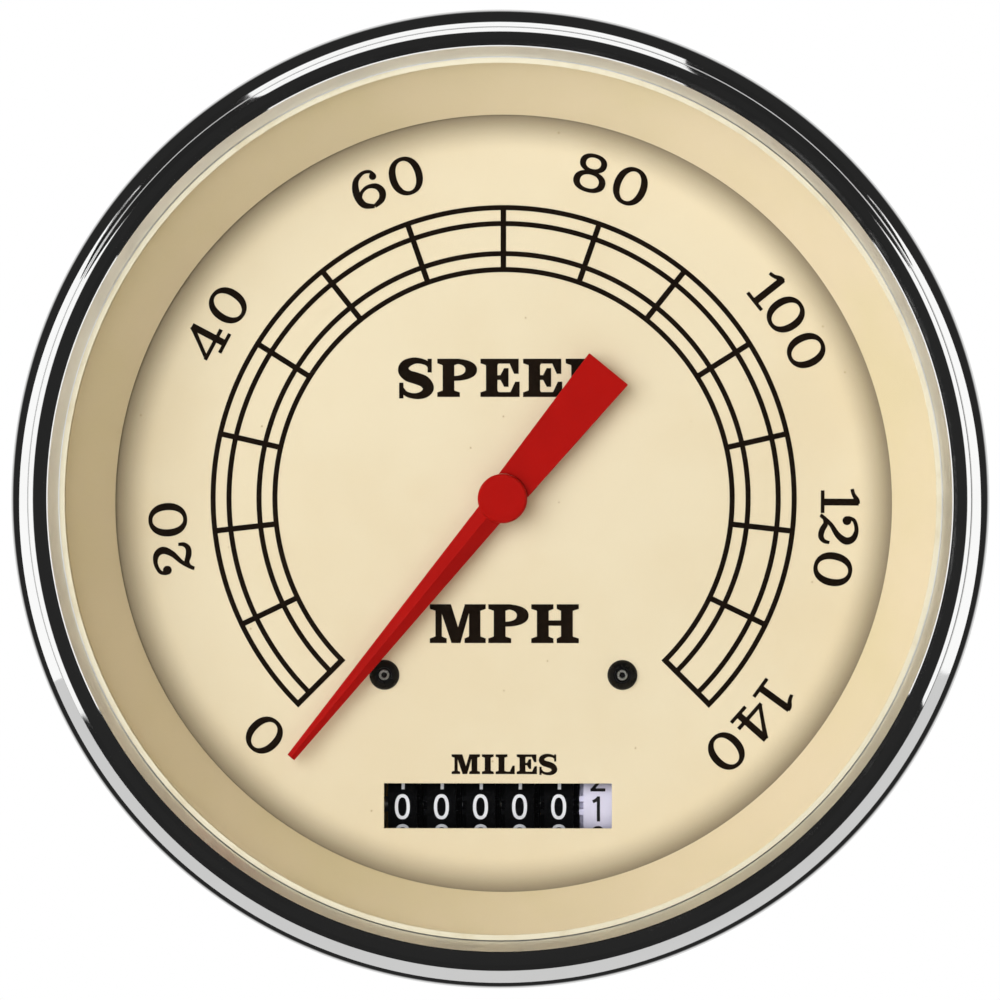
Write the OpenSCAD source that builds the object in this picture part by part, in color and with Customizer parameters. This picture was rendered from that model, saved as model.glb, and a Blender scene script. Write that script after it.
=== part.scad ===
// Vintage dashboard speedometer with an odometer, all sizes in millimetres.
// Modules are drawn with x to the right, y down and z back from the panel plane,
// and stand_up() turns them so that the dial faces -Y with +Z up.

/* [Bezel and glass] */
// How far the chrome bezel stands out past the case
bezel_overhang = 5; // [4.4:0.1:10]
// Sheet thickness of the bezel
bezel_sheet = 0.8; // [0.6:0.05:1]
// Outer radius of the bezel's rolled rim
rim_roll_r = 2.3; // [1.9:0.05:2.5]
// Width of the bezel's flat inner lip
lip_w = 1.1; // [0.6:0.1:1.4]
// Thickness of the glass
glass_t = 2.2; // [1.5:0.1:4]
// Thickness of the gasket in front of the glass
gasket_t = 0.8; // [0.4:0.1:1.5]

/* [Case] */
// Outside diameter of the case, which fills the panel hole
case_d = 116; // [104:0.5:132]
// Sheet thickness of the case
case_sheet = 1; // [0.7:0.1:1.4]
// Room between the worm wheel and its bracket at the back
rear_room = 0.8; // [0.5:0.1:12]
// Radius of the case's rear corner
case_corner_r = 3; // [1.5:0.5:5]

/* [Dial] */
// How far the visor ring narrows from the glass to the dial
visor_slant = 5.8; // [4.2:0.1:8.2]
// Depth of the visor ring
visor_depth = 8.9; // [8:0.1:14]
// Thickness of the visor ring's flange
visor_flange_t = 1.2; // [0.8:0.1:2]
// Wall of the visor ring's cone
visor_wall = 1; // [0.6:0.1:1.2]
// Thickness of the dial
dial_t = 1; // [0.6:0.1:1.6]
// Distance of the dial screws to each side
dial_screw_x = 15.45; // [13:0.05:17]
// Height of the dial screws above the odometer's axle
dial_screw_rise = 17; // [15.9:0.1:18.4]
// Head radius of the dial screws
dial_screw_r = 1.95; // [1.6:0.05:2.4]
// Height of the odometer window
window_h = 5.85; // [5:0.05:7]
// Length of the posts that carry the dial
dial_post_len = 5; // [4.6:0.1:8]

/* [Pointer] */
// Length of the needle from the hub
needle_len = 43.4; // [38:0.2:47]
// Width of the needle at the hub
needle_w = 3.7; // [3:0.1:4.5]
// Width of the needle at its tip
needle_tip_w = 1.15; // [0.8:0.05:1.6]
// Height of the needle's ridge at the hub
needle_h = 1.4; // [1:0.1:1.8]
// Length of the tail from the hub
tail_len = 21.7; // [16:0.1:26]
// Width of the tail at the hub
tail_w = 4.65; // [4:0.05:5.4]
// Width of the tail at its end
tail_end_w = 6.5; // [5.4:0.1:8]
// Radius of the pointer's hub
hub_r = 3.2; // [2.8:0.1:3.8]
// Angle of the resting needle from straight down
rest_angle = 39.3; // [35:0.1:44]
// Height of the pointer over the dial
pointer_gap = 1.9; // [1.6:0.1:2.6]

/* [Movement] */
// Radius of the rotating magnet
magnet_r = 15.8; // [12:0.1:16.4]
// Length of the rotating magnet
magnet_len = 4.8; // [4:0.1:8]
// Free gap between the magnet, the speed cup and the field cup
air_gap = 0.8; // [0.5:0.05:1]
// Wall of the speed cup
cup_wall = 0.6; // [0.4:0.05:0.8]
// Wall of the field cup
field_wall = 1.4; // [1:0.1:2]
// Radius of the drive shaft
shaft_r = 3; // [2.6:0.1:3.3]
// Across flats of the square that takes the cable
cable_square = 2.7; // [2.4:0.1:3]
// Radius of the pointer spindle
spindle_r = 0.8; // [0.7:0.05:1]
// Turns of the hairspring
spring_turns = 5; // [3:1:6]
// Thickness of the bridge plate
bridge_t = 2; // [1.5:0.1:3]
// Radius of the frame pillars
pillar_r = 2.5; // [2.2:0.1:3]
// Thickness of the movement base
base_t = 4; // [3:0.5:7]

/* [Odometer] */
// Radius of the number wheels
wheel_r = 6.3; // [6:0.05:6.6]
// Width of each number wheel's drum
drum_w = 3.75; // [3.5:0.05:3.8]
// Distance from one number wheel to the next
wheel_pitch = 5.08; // [5.04:0.01:5.5]
// Distance of the odometer's axle in from the dial's edge
odo_inset = 15.6; // [13.5:0.1:16.5]
// Radius of the odometer axle
odo_axle_r = 1; // [0.8:0.05:1.2]

/* [Rear fittings] */
// Radius of the threaded neck for the drive cable
neck_r = 7.94; // [7.5:0.01:9]
// Length of the neck behind the case
neck_len = 15; // [12:0.5:20]
// Gap between the studs' heads and the movement base
stud_clear = 0.5; // [0.3:0.1:8]
// Radius of the studs
stud_r = 2.4; // [2:0.1:2.6]
// Length of the studs behind the case
stud_len = 25; // [24.5:0.5:32]
// Gap between the bezel and the clamp's feet
panel_gap = 8; // [6.5:0.5:14]
// Width of the clamp strip
clamp_w = 15; // [10:0.5:18]
// Thickness of the clamp strip
clamp_t = 2; // [1.5:0.1:2.4]
// Distance of the lamps to each side
lamp_x = 28; // [26:0.5:32]
// Height of the lamps above the centre
lamp_rise = 30; // [28:0.5:33]

/* [Hidden] */
$fn = 96;

// Clearances
fit_gap = 0.02;
running_gap = 0.05;
thread_gap = 0.05;
hole_gap = 0.15;
ring_play = 0.5;
crimp_clear = 1.2;
dial_gap = 0.4;
end_gap = 0.2;
gear_slack = 0.09;
cut = 1;

// Tooth heights above and below the pitch line, in modules, and the flank angle
addendum = 0.95;
dedendum = 1.1;
flank = 20;

// Bezel, glass and visor
case_r = case_d / 2;
bezel_r = case_r + bezel_overhang;
case_in_r = case_r - case_sheet;
ring_r = bezel_r - bezel_sheet - ring_play;
rim_in_r = bezel_r - 2 * rim_roll_r;
opening_r = rim_in_r - lip_w;
bezel_corner_r = 0.6;
visor_play = 0.8;
visor_top_r = case_in_r - visor_play;
visor_r = visor_top_r - visor_slant;
dial_play = 1.5;
dial_r = case_in_r - dial_play;
visor_z0 = -bezel_sheet - case_sheet - visor_flange_t;
glass_z0 = visor_z0 - glass_t;
gasket_z0 = glass_z0 - gasket_t;
lip_z0 = gasket_z0 - bezel_sheet;
visor_z1 = visor_z0 + visor_depth;
dial_z0 = visor_z1 + dial_gap;
dial_z1 = dial_z0 + dial_t;

// Dial screws and posts
screw_shank_r = 1;
dial_head_h = 1.2;
dial_socket_r = 0.85;
dial_socket_depth = 0.7;
dial_post_r = 2.6;
dial_post_floor = 1;
dial_shank_len = dial_t + dial_post_len - dial_post_floor;

// Pointer
pointer_z1 = dial_z0 - pointer_gap;
needle_edge = 0.35;
needle_tip_h = 0.65;
tail_t = 0.7;
hub_h = 2.1;
hub_skirt = 0.3;
hub_crown = 0.25;
hub_cap_t = 0.8;
hub_z0 = pointer_z1 + hub_skirt - hub_h;
spindle_z0 = hub_z0 + hub_cap_t;
needle_turn = 90 + rest_angle;

// Bridge, hairspring and stops
bridge_z0 = dial_z1 + dial_post_len;
bridge_z1 = bridge_z0 + bridge_t;
collet_r = 2;
collet_gap = 1.3;
collet_len = 2;
collet_z0 = dial_z1 + collet_gap;
collet_z1 = collet_z0 + collet_len;
spring_h = 1.2;
spring_t = 0.25;
spring_z0 = collet_z0 + (collet_len - spring_h) / 2;
spring_r1 = collet_r + fit_gap + spring_t / 2;
spring_pitch = 1.28;
spring_r2 = spring_r1 + spring_turns * spring_pitch;
spring_steps = 24;
spring_stud_r = 0.8;
spring_stud_at = spring_r2 + spring_t / 2 + fit_gap + spring_stud_r;
stop_arm_t = 0.6;
stop_arm_w = 1;
stop_arm_gap = 0.4;
stop_arm_z1 = bridge_z0 - stop_arm_gap;
stop_arm_z0 = stop_arm_z1 - stop_arm_t;
stop_arm_hub_r = 1.8;
stop_pin_r = 0.6;
stop_pin_at = 5;
stop_arm_len = stop_pin_at + stop_pin_r + end_gap;
stop_turn = asin((stop_arm_w / 2 + stop_pin_r + fit_gap) / stop_pin_at);
bush_r = 2.6;
bush_z0 = bridge_z0 - end_gap;
bush_proud = 0.3;
bush_z1 = bridge_z1 + bush_proud;

// Speed cup, magnet and field cup
cup_z0 = bush_z1 + end_gap;
cup_hub_r = 2;
cup_hub_proud = 0.5;
cup_floor_z0 = cup_z0 + cup_hub_proud;
cup_floor_t = 0.6;
cup_floor_z1 = cup_floor_z0 + cup_floor_t;
cup_in_r = magnet_r + air_gap;
cup_out_r = cup_in_r + cup_wall;
shaft_front_gap = 0.7;
shaft_proud = 0.4;
shaft_z0 = cup_floor_z1 + shaft_front_gap;
magnet_z0 = shaft_z0 + shaft_proud;
magnet_z1 = magnet_z0 + magnet_len;
field_in_r = cup_out_r + air_gap;
field_out_r = field_in_r + field_wall;
field_floor_t = 1.5;
field_z0 = magnet_z0 - end_gap;
field_z1 = magnet_z1 + field_floor_t;
cup_z1 = magnet_z1 - air_gap;
pivot_r = 0.6;
pivot_shoulder = 0.4;
pivot_depth = 3.4;
pivot_end_gap = 0.4;
pivot_z0 = shaft_z0 - pivot_shoulder;
pivot_z1 = shaft_z0 + pivot_depth;
pivot_hole_z1 = pivot_z1 + pivot_end_gap;

// Odometer wheels and gear train
worm_module = 0.5;
worm_pitch_r = 4.5;
worm_teeth = 50;
worm_wheel_r = worm_teeth * worm_module / 2;
worm_face = 3;
worm_hub_r = 3.5;
worm_hub_h = 5;
train_module = 0.6;
train_worm_least_r = 3;
idler_teeth = 25;
odo_teeth = 20;
train_face = 2;
idler_r = idler_teeth * train_module / 2;
odo_gear_r = odo_teeth * train_module / 2;
worm_turns = 4;
worm_sides = 16;
counter_r = 1.5;
counter_x = worm_pitch_r + worm_wheel_r;
odo_front_gap = 0.6;
odo_y = dial_r - odo_inset;
dial_screw_y = odo_y - dial_screw_rise;
odo_z = dial_z1 + odo_front_gap + wheel_r;
idler_z = odo_z + odo_gear_r + idler_r;
field_clear = 1;
counter_z = max(idler_z + idler_r + train_worm_least_r, field_z1 + field_clear + worm_wheel_r + worm_module);
train_worm_r = counter_z - idler_z - idler_r;
plate_t = 1;
plate_gap = 0.72;
plate_x1 = counter_x - train_face / 2 - end_gap;
plate_x0 = plate_x1 - plate_t;
wheel_count = 6;
tenths_x = plate_x0 - plate_gap - drum_w / 2;
last_x = tenths_x - (wheel_count - 1) * wheel_pitch;
left_gap = 1;
left_x1 = last_x - drum_w / 2 - left_gap;
left_x0 = left_x1 - plate_t;
window_side = 0.45;
window_x0 = last_x - drum_w / 2 - window_side;
window_x1 = tenths_x + drum_w / 2;
wheel_gear_teeth = 20;
pinion_teeth = 8;
wheel_gear_share = 0.42;
pinion_share = 0.7;
wheel_gear_t = (wheel_pitch - drum_w) * wheel_gear_share;
pinion_w = (wheel_pitch - drum_w) * pinion_share;
pinion_axle_r = 0.5;
pinion_axle_gap = 0.2;
pinion_reach = wheel_r + pinion_axle_gap + pinion_axle_r;
pinion_module = 2 * pinion_reach / (wheel_gear_teeth + pinion_teeth);
pinion_z = odo_z + pinion_reach;
driver_r = 4.1;
driver_tip_r = 5.5;
driver_tooth_w = 0.7;
driver_tooth_angle = 18;

// Odometer frame
frame_front = 4.5;
frame_front_z = odo_z - frame_front;
web_gap = 0.3;
web_t = 1.2;
web_z0 = pinion_z + (pinion_teeth / 2 + 1) * pinion_module + web_gap;
web_z1 = web_z0 + web_t;
top_gap = 1;
top_y1 = odo_y - wheel_r - top_gap;
top_y0 = top_y1 - web_t;
frame_low = 5;
frame_low_y = odo_y + frame_low;
ear_t = 1.5;
ear_x = 8;
ear_w = 7;
ear_len = 7.4;
ear_screw_up = 4.2;
ear_y0 = top_y0 - ear_len;
ear_screw_y = top_y0 - ear_screw_up;
idler_arm_w = 8;
idler_stub_r = 1.5;
idler_head_r = 2.4;
idler_head_t = 0.8;

// Case, base and rear fittings
strip_t = 1.6;
strip_w = 8;
strip_z0 = counter_z + worm_wheel_r + worm_module + rear_room;
base_z0 = strip_z0 + strip_t;
base_z1 = base_z0 + base_t;
case_depth = base_z1 + case_sheet;
arm_t = 2;
upper_arm_y = -7;
lower_arm_drop = 6.5;
lower_arm_y = odo_y + lower_arm_drop;
bush_wall = 2;
bush_flange_w = 4;
bush_out_r = shaft_r + bush_wall;
bush_flange_r = shaft_r + bush_flange_w;
bush_flange_t = 1.2;
bush_rear_len = 3;
bush_end_z = case_depth + bush_rear_len;
collar_w = 2.5;
collar_r = shaft_r + collar_w;
collar_t = 1.3;
collar_z1 = base_z0 - bush_flange_t - end_gap;
shaft_set_back = 6.6;
shaft_z1 = case_depth + neck_len - shaft_set_back;
square_depth = 12;
neck_collar_w = 0.66;
neck_collar_r = neck_r + neck_collar_w;
neck_collar_len = 1.5;
pillar_gap = 2.1;
pillar_drop = 8;
pillar_at = field_out_r + pillar_gap + pillar_r;
pillar_spots = [[-pillar_at, pillar_drop], [pillar_at, pillar_drop], [0, -pillar_at]];
pillar_stub_r = 1.5;
pillar_stub_len = 3;
base_margin = 1.2;
base_r = norm(pillar_spots[0]) + pillar_stub_r + base_margin;
frame_screw_r = 1.2;
frame_screw_len = 6;
frame_head_r = 2.2;
frame_head_h = 1.2;
slot_w = 0.65;
bridge_margin = 1.5;
base_screw_spots = [[-14, 14], [-14, -14], [14, -14]];
base_screw_r = 1.5;
base_screw_len = 4;
base_head_r = 2.8;
base_head_h = 2.2;
counter_screw_ys = [6, 15];
lamp_hole_r = 6.2;
lamp_barrel_len = 14;
lamp_flange_r = 7.5;
lamp_flange_t = 1.2;
lamp_tail_r = 4;
lamp_tail_len = 8;
bulb_r = 4;
bulb_len = 11;
stud_head_r = 3.5;
stud_head_t = 1.2;
stud_x = base_r + stud_clear + stud_head_r;
clamp_stand = 9;
clamp_z0 = case_depth + clamp_stand;
clamp_z1 = clamp_z0 + clamp_t;
clamp_side_gap = 2;
clamp_in = case_r + clamp_side_gap;
clamp_ring_r = 19.5;
clamp_hole_r = 13;
washer_r = 5;
washer_t = 1;
nut_r = 6.5;
nut_h = 6;
nut_grips = 20;
nut_grip_r = 0.6;

// Points on a round arc
function arc(x, y, r, a0, a1, steps = 24) =
    [for (i = [0:steps]) let(a = a0 + (a1 - a0) * i / steps) [x + r * cos(a), y + r * sin(a)]];

// Half the width of a straight-sided tooth at a height over the pitch line
function tooth_half(m, over) = PI * m / 4 - gear_slack - over * tan(flank);

// Outline of a spur gear with one tooth on the first axis
function gear_points(teeth, m) =
    let(up = addendum * m, down = dedendum * m, tip = teeth * m / 2 + up, root = teeth * m / 2 - down)
    let(a_tip = asin(tooth_half(m, up) / tip), a_root = asin(tooth_half(m, -down) / root))
    [for (i = [0:teeth - 1]) each let(a = 360 * i / teeth) [
        root * [cos(a - a_root), sin(a - a_root)],
        tip * [cos(a - a_tip), sin(a - a_tip)],
        tip * [cos(a + a_tip), sin(a + a_tip)],
        root * [cos(a + a_root), sin(a + a_root)]
    ]];

// Radius of a worm's cross section at an angle from its thread
function worm_radius(a, r, m) =
    let(along = min(a, 360 - a) / 360 * PI * m)
    let(over = (PI * m / 4 - gear_slack - along) / tan(flank))
    r + min(addendum * m, max(-dedendum * m, over));

module stand_up() rotate([-90, 0, 0]) children();
module along_x() rotate([0, 90, 0]) children();
module along_y() rotate([-90, 0, 0]) children();

module disc(r, z0, z1) translate([0, 0, z0]) cylinder(r = r, h = z1 - z0);

module tube(r, bore, z0, z1) {
    difference() {
        disc(r, z0, z1);
        disc(bore, z0 - cut, z1 + cut);
    }
}

module slab(x0, x1, y0, y1, z0, z1) translate([x0, y0, z0]) cube([x1 - x0, y1 - y0, z1 - z0]);

module gear(teeth, m, h) linear_extrude(height = h) polygon(gear_points(teeth, m));

// Right-handed single-start worm, centred on its length
module worm(r, m, bore) {
    length = worm_turns * PI * m;
    difference() {
        translate([0, 0, -length / 2])
            linear_extrude(height = length, twist = -360 * worm_turns,
                slices = worm_turns * worm_sides, segments = worm_sides)
                polygon([for (i = [0:worm_sides - 1])
                    let(a = 360 * i / worm_sides) worm_radius(a, r, m) * [cos(a), sin(a)]]);
        disc(bore, -length, length);
    }
}

// Pan-head screw with a slot, head towards the front
module slotted_screw(head_r, head_h, shank, length) {
    difference() {
        union() {
            disc(head_r, -head_h, 0);
            disc(shank, 0, length);
        }
        slab(-head_r - cut, head_r + cut, -slot_w / 2, slot_w / 2, -head_h - cut, -head_h / 2);
    }
}

module at_sides(x, y) for (side = [-1, 1]) translate([side * x, y, 0]) children();

module bezel() color("silver") stand_up() rotate_extrude() polygon(concat(
    [[case_r + crimp_clear, 0]],
    arc(bezel_r - bezel_corner_r, -bezel_corner_r, bezel_corner_r, 90, 0, 6),
    arc(bezel_r - rim_roll_r, lip_z0, rim_roll_r, 0, -180, 32),
    [[opening_r, lip_z0], [opening_r, gasket_z0], [rim_in_r + bezel_sheet, gasket_z0]],
    arc(bezel_r - rim_roll_r, lip_z0, rim_roll_r - bezel_sheet, -180, 0, 32),
    [[bezel_r - bezel_sheet, -bezel_sheet], [case_r + crimp_clear, -bezel_sheet]]
));

module lens_gasket() color("wheat") stand_up() tube(ring_r, visor_top_r, gasket_z0, glass_z0);

module glass_lens() color("white", 0.3) stand_up() disc(ring_r, glass_z0, visor_z0);

module visor_ring() color("tan") stand_up() rotate_extrude() {
    slope = (visor_top_r - visor_r) / visor_depth;
    polygon([
        [visor_top_r, visor_z0],
        [ring_r, visor_z0],
        [ring_r, visor_z0 + visor_flange_t],
        [visor_top_r + visor_wall - slope * visor_flange_t, visor_z0 + visor_flange_t],
        [visor_r + visor_wall, visor_z1],
        [visor_r, visor_z1]
    ]);
}

module dial() color("wheat") stand_up() difference() {
    disc(dial_r, dial_z0, dial_z1);
    disc(collet_r, dial_z0 - cut, dial_z1 + cut);
    at_sides(dial_screw_x, dial_screw_y)
        disc(screw_shank_r + hole_gap, dial_z0 - cut, dial_z1 + cut);
    slab(window_x0, window_x1, odo_y - window_h / 2, odo_y + window_h / 2, dial_z0 - cut, dial_z1 + cut);
}

// Button-head screws with a six-sided socket
module dial_screws() color("black") stand_up() at_sides(dial_screw_x, dial_screw_y)
    translate([0, 0, dial_z0]) difference() {
        union() {
            dome_r = (dial_screw_r ^ 2 + dial_head_h ^ 2) / (2 * dial_head_h);
            dome_a = asin(dial_screw_r / dome_r);
            rotate_extrude() polygon(concat(
                [[0, 0]],
                arc(0, dome_r - dial_head_h, dome_r, dome_a - 90, -90, 10)
            ));
            disc(screw_shank_r, 0, dial_shank_len);
        }
        translate([0, 0, -dial_head_h - cut])
            cylinder(r = dial_socket_r, h = dial_socket_depth + cut, $fn = 6);
    }

// Roof-shaped needle, cut to the round of the hub
module pointer_needle() color("firebrick") stand_up() rotate([0, 0, needle_turn]) {
    root = [[0, needle_w / 2, 0], [0, needle_w / 2, needle_edge], [0, 0, needle_h],
        [0, -needle_w / 2, needle_edge], [0, -needle_w / 2, 0]];
    tip = [[0, needle_tip_w / 2, 0], [0, needle_tip_w / 2, needle_edge], [0, 0, needle_tip_h],
        [0, -needle_tip_w / 2, needle_edge], [0, -needle_tip_w / 2, 0]];
    ring = len(root);
    lower = function (p, x) [x, p[1], pointer_z1 - p[2]];
    difference() {
        polyhedron(
            points = concat([for (p = root) lower(p, 0)], [for (p = tip) lower(p, needle_len)]),
            faces = concat(
                [[for (i = [0:ring - 1]) i]],
                [[for (i = [0:ring - 1]) 2 * ring - 1 - i]],
                [for (i = [0:ring - 1]) let(j = (i + 1) % ring) [j, i, ring + i, ring + j]]
            )
        );
        disc(hub_r + fit_gap, hub_z0 - cut, pointer_z1 + cut);
    }
}

module pointer_tail() color("firebrick") stand_up() rotate([0, 0, needle_turn + 180]) difference() {
    translate([0, 0, pointer_z1 - tail_t]) linear_extrude(height = tail_t)
        polygon([[0, -tail_w / 2], [tail_len, -tail_end_w / 2], [tail_len, tail_end_w / 2], [0, tail_w / 2]]);
    disc(hub_r + fit_gap, hub_z0 - cut, pointer_z1 + cut);
}

module pointer_boss() color("firebrick") stand_up() difference() {
    rotate_extrude() polygon([
        [0, hub_z0],
        [hub_r - hub_crown, hub_z0],
        [hub_r, hub_z0 + hub_crown],
        [hub_r, hub_z0 + hub_h],
        [0, hub_z0 + hub_h]
    ]);
    disc(spindle_r + fit_gap, spindle_z0 - fit_gap, hub_z0 + hub_h + cut);
}

module pointer_spindle() color("gray") stand_up() union() {
    disc(spindle_r, spindle_z0, pivot_z0);
    disc(pivot_r, pivot_z0, pivot_z1);
}

module stop_arm() color("gold") stand_up() rotate([0, 0, needle_turn]) difference() {
    union() {
        disc(stop_arm_hub_r, stop_arm_z0, stop_arm_z1);
        slab(0, stop_arm_len, -stop_arm_w / 2, stop_arm_w / 2, stop_arm_z0, stop_arm_z1);
    }
    disc(spindle_r + fit_gap, stop_arm_z0 - cut, stop_arm_z1 + cut);
}

module speed_cup() color("lightgray") stand_up() difference() {
    union() {
        disc(cup_hub_r, cup_z0, cup_floor_z1);
        disc(cup_out_r, cup_floor_z0, cup_z1);
    }
    disc(cup_in_r, cup_floor_z1, cup_z1 + cut);
    disc(spindle_r + fit_gap, cup_z0 - cut, cup_floor_z1 + cut);
}

module hairspring_collet() color("gold") stand_up()
    tube(collet_r, spindle_r + fit_gap, collet_z0, collet_z1);

// Flat spiral that ends straight below the centre, at its stud
module hairspring() color("steelblue") stand_up() translate([0, 0, spring_z0]) linear_extrude(height = spring_h) {
    count = spring_turns * spring_steps;
    mid = function (i) spring_r1 + (spring_r2 - spring_r1) * i / count;
    turn = function (i) 90 + 360 * i / spring_steps;
    side = function (i, half) (mid(i) + half) * [cos(turn(i)), sin(turn(i))];
    polygon(concat(
        [for (i = [0:count]) side(i, spring_t / 2)],
        [for (i = [count:-1:0]) side(i, -spring_t / 2)]
    ));
}

module hairspring_stud() color("gold") stand_up() translate([0, spring_stud_at, 0])
    disc(spring_stud_r, spring_z0, bridge_z0);

module stop_pins() color("gray") stand_up() for (turn = [-1, 1])
    rotate([0, 0, 90 + turn * (rest_angle - stop_turn)]) translate([stop_pin_at, 0, 0])
        disc(stop_pin_r, stop_arm_z0 - end_gap, bridge_z0);

module bridge_plate() color("darkgoldenrod") stand_up() difference() {
    translate([0, 0, bridge_z0]) linear_extrude(height = bridge_t) hull() {
        for (p = pillar_spots) translate(p) circle(r = pillar_r + bridge_margin, $fn = 32);
        at_sides(dial_screw_x, dial_screw_y) circle(r = dial_post_r + bridge_margin, $fn = 32);
        at_sides(ear_x, ear_screw_y) circle(r = frame_head_r, $fn = 32);
    }
    disc(bush_r + fit_gap, bridge_z0 - cut, bridge_z1 + cut);
    for (p = pillar_spots) translate(p)
        disc(frame_screw_r + hole_gap, bridge_z0 - cut, bridge_z1 + cut);
    at_sides(ear_x, ear_screw_y) disc(frame_screw_r + hole_gap, bridge_z0 - cut, bridge_z1 + cut);
}

module spindle_bush() color("peru") stand_up()
    tube(bush_r, spindle_r + running_gap, bush_z0, bush_z1);

module dial_posts() color("darkgoldenrod") stand_up() at_sides(dial_screw_x, dial_screw_y)
    tube(dial_post_r, screw_shank_r + thread_gap, dial_z1, bridge_z0);

module frame_pillars() color("silver") stand_up() for (p = pillar_spots) translate(p) difference() {
    union() {
        disc(pillar_r, bridge_z1, base_z0);
        disc(pillar_stub_r, base_z0, base_z0 + pillar_stub_len);
    }
    disc(frame_screw_r + thread_gap, bridge_z1 - cut, bridge_z0 + frame_screw_len + end_gap);
}

module pillar_screws() color("dimgray") stand_up() for (p = pillar_spots)
    translate([p[0], p[1], bridge_z0])
        slotted_screw(frame_head_r, frame_head_h, frame_screw_r, frame_screw_len);

module movement_base() color("darkgray") stand_up() difference() {
    union() {
        disc(base_r, base_z0, base_z1);
        disc(neck_collar_r, base_z1, case_depth + neck_collar_len);
        disc(neck_r, case_depth + neck_collar_len, case_depth + neck_len);
    }
    disc(bush_out_r + fit_gap, base_z0 - cut, case_depth + neck_len + cut);
    for (p = pillar_spots) translate(p)
        disc(pillar_stub_r + fit_gap, base_z0 - cut, base_z0 + pillar_stub_len + end_gap);
    for (p = base_screw_spots) translate(p)
        disc(base_screw_r + thread_gap, base_z1 - base_screw_len + case_sheet - end_gap, base_z1 + cut);
    for (y = counter_screw_ys) translate([counter_x, y, 0])
        disc(frame_screw_r + thread_gap, base_z0 - cut, strip_z0 + frame_screw_len - strip_t);
}

module drive_bush() color("peru") stand_up() difference() {
    union() {
        disc(bush_flange_r, base_z0 - bush_flange_t, base_z0);
        disc(bush_out_r, base_z0, bush_end_z);
    }
    disc(shaft_r + running_gap, base_z0 - bush_flange_t - cut, bush_end_z + cut);
}

module drive_shaft() color("gray") stand_up() difference() {
    disc(shaft_r, shaft_z0, shaft_z1);
    disc(pivot_r + running_gap, shaft_z0 - cut, pivot_hole_z1);
    slab(-cable_square / 2, cable_square / 2, -cable_square / 2, cable_square / 2,
        shaft_z1 - square_depth, shaft_z1 + cut);
}

module magnet() color("dimgray") stand_up() tube(magnet_r, shaft_r + fit_gap, magnet_z0, magnet_z1);

module field_cup() color("silver") stand_up() difference() {
    disc(field_out_r, field_z0, field_z1);
    disc(field_in_r, field_z0 - cut, magnet_z1);
    disc(shaft_r + fit_gap, magnet_z1 - cut, field_z1 + cut);
}

module drive_worm() color("goldenrod") stand_up() translate([0, 0, counter_z])
    worm(worm_pitch_r, worm_module, shaft_r + fit_gap);

module thrust_collar() color("silver") stand_up()
    tube(collar_r, shaft_r + fit_gap, collar_z1 - collar_t, collar_z1);

module counter_shaft() color("gray") stand_up() translate([counter_x, 0, counter_z]) along_y()
    disc(counter_r, upper_arm_y - end_gap, lower_arm_y + arm_t + end_gap);

module worm_wheel() color("goldenrod") stand_up() translate([counter_x, 0, counter_z]) along_y()
    difference() {
        union() {
            translate([0, 0, -worm_face / 2]) rotate([0, 0, 180 / worm_teeth])
                gear(worm_teeth, worm_module, worm_face);
            disc(worm_hub_r, -worm_hub_h / 2, worm_hub_h / 2);
        }
        disc(counter_r + fit_gap, -worm_hub_h, worm_hub_h);
    }

module counter_worm() color("goldenrod") stand_up() translate([counter_x, odo_y, counter_z]) along_y()
    rotate([0, 0, 90]) worm(train_worm_r, train_module, counter_r + fit_gap);

// Strip with two arms that carry the upright counter shaft
module counter_bracket() color("darkgoldenrod") stand_up() difference() {
    x0 = counter_x - strip_w / 2;
    x1 = counter_x + strip_w / 2;
    arm_z0 = counter_z - strip_w / 2;
    union() {
        slab(x0, x1, upper_arm_y, lower_arm_y + arm_t, strip_z0, base_z0);
        slab(x0, x1, upper_arm_y, upper_arm_y + arm_t, arm_z0, base_z0);
        slab(x0, x1, lower_arm_y, lower_arm_y + arm_t, arm_z0, base_z0);
    }
    translate([counter_x, 0, counter_z]) along_y()
        disc(counter_r + running_gap, upper_arm_y - cut, lower_arm_y + arm_t + cut);
    for (y = counter_screw_ys) translate([counter_x, y, 0])
        disc(frame_screw_r + hole_gap, strip_z0 - cut, base_z0 + cut);
}

module counter_screws() color("dimgray") stand_up() for (y = counter_screw_ys)
    translate([counter_x, y, strip_z0])
        slotted_screw(frame_head_r, frame_head_h, frame_screw_r, frame_screw_len - strip_t - end_gap);

module idler_gear() color("goldenrod") stand_up() translate([counter_x, odo_y, idler_z]) along_x()
    difference() {
        translate([0, 0, -train_face / 2]) gear(idler_teeth, train_module, train_face);
        disc(idler_stub_r + running_gap, -train_face, train_face);
    }

module idler_stub() color("gray") stand_up() translate([0, odo_y, idler_z]) along_x() union() {
    head_x = counter_x + train_face / 2 + end_gap;
    disc(idler_stub_r, plate_x0, head_x);
    disc(idler_head_r, head_x, head_x + idler_head_t);
}

module odometer_gear() color("goldenrod") stand_up() translate([counter_x, odo_y, odo_z]) along_x()
    difference() {
        translate([0, 0, -train_face / 2]) rotate([0, 0, 180 / odo_teeth])
            gear(odo_teeth, train_module, train_face);
        disc(odo_axle_r + fit_gap, -train_face, train_face);
    }

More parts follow.
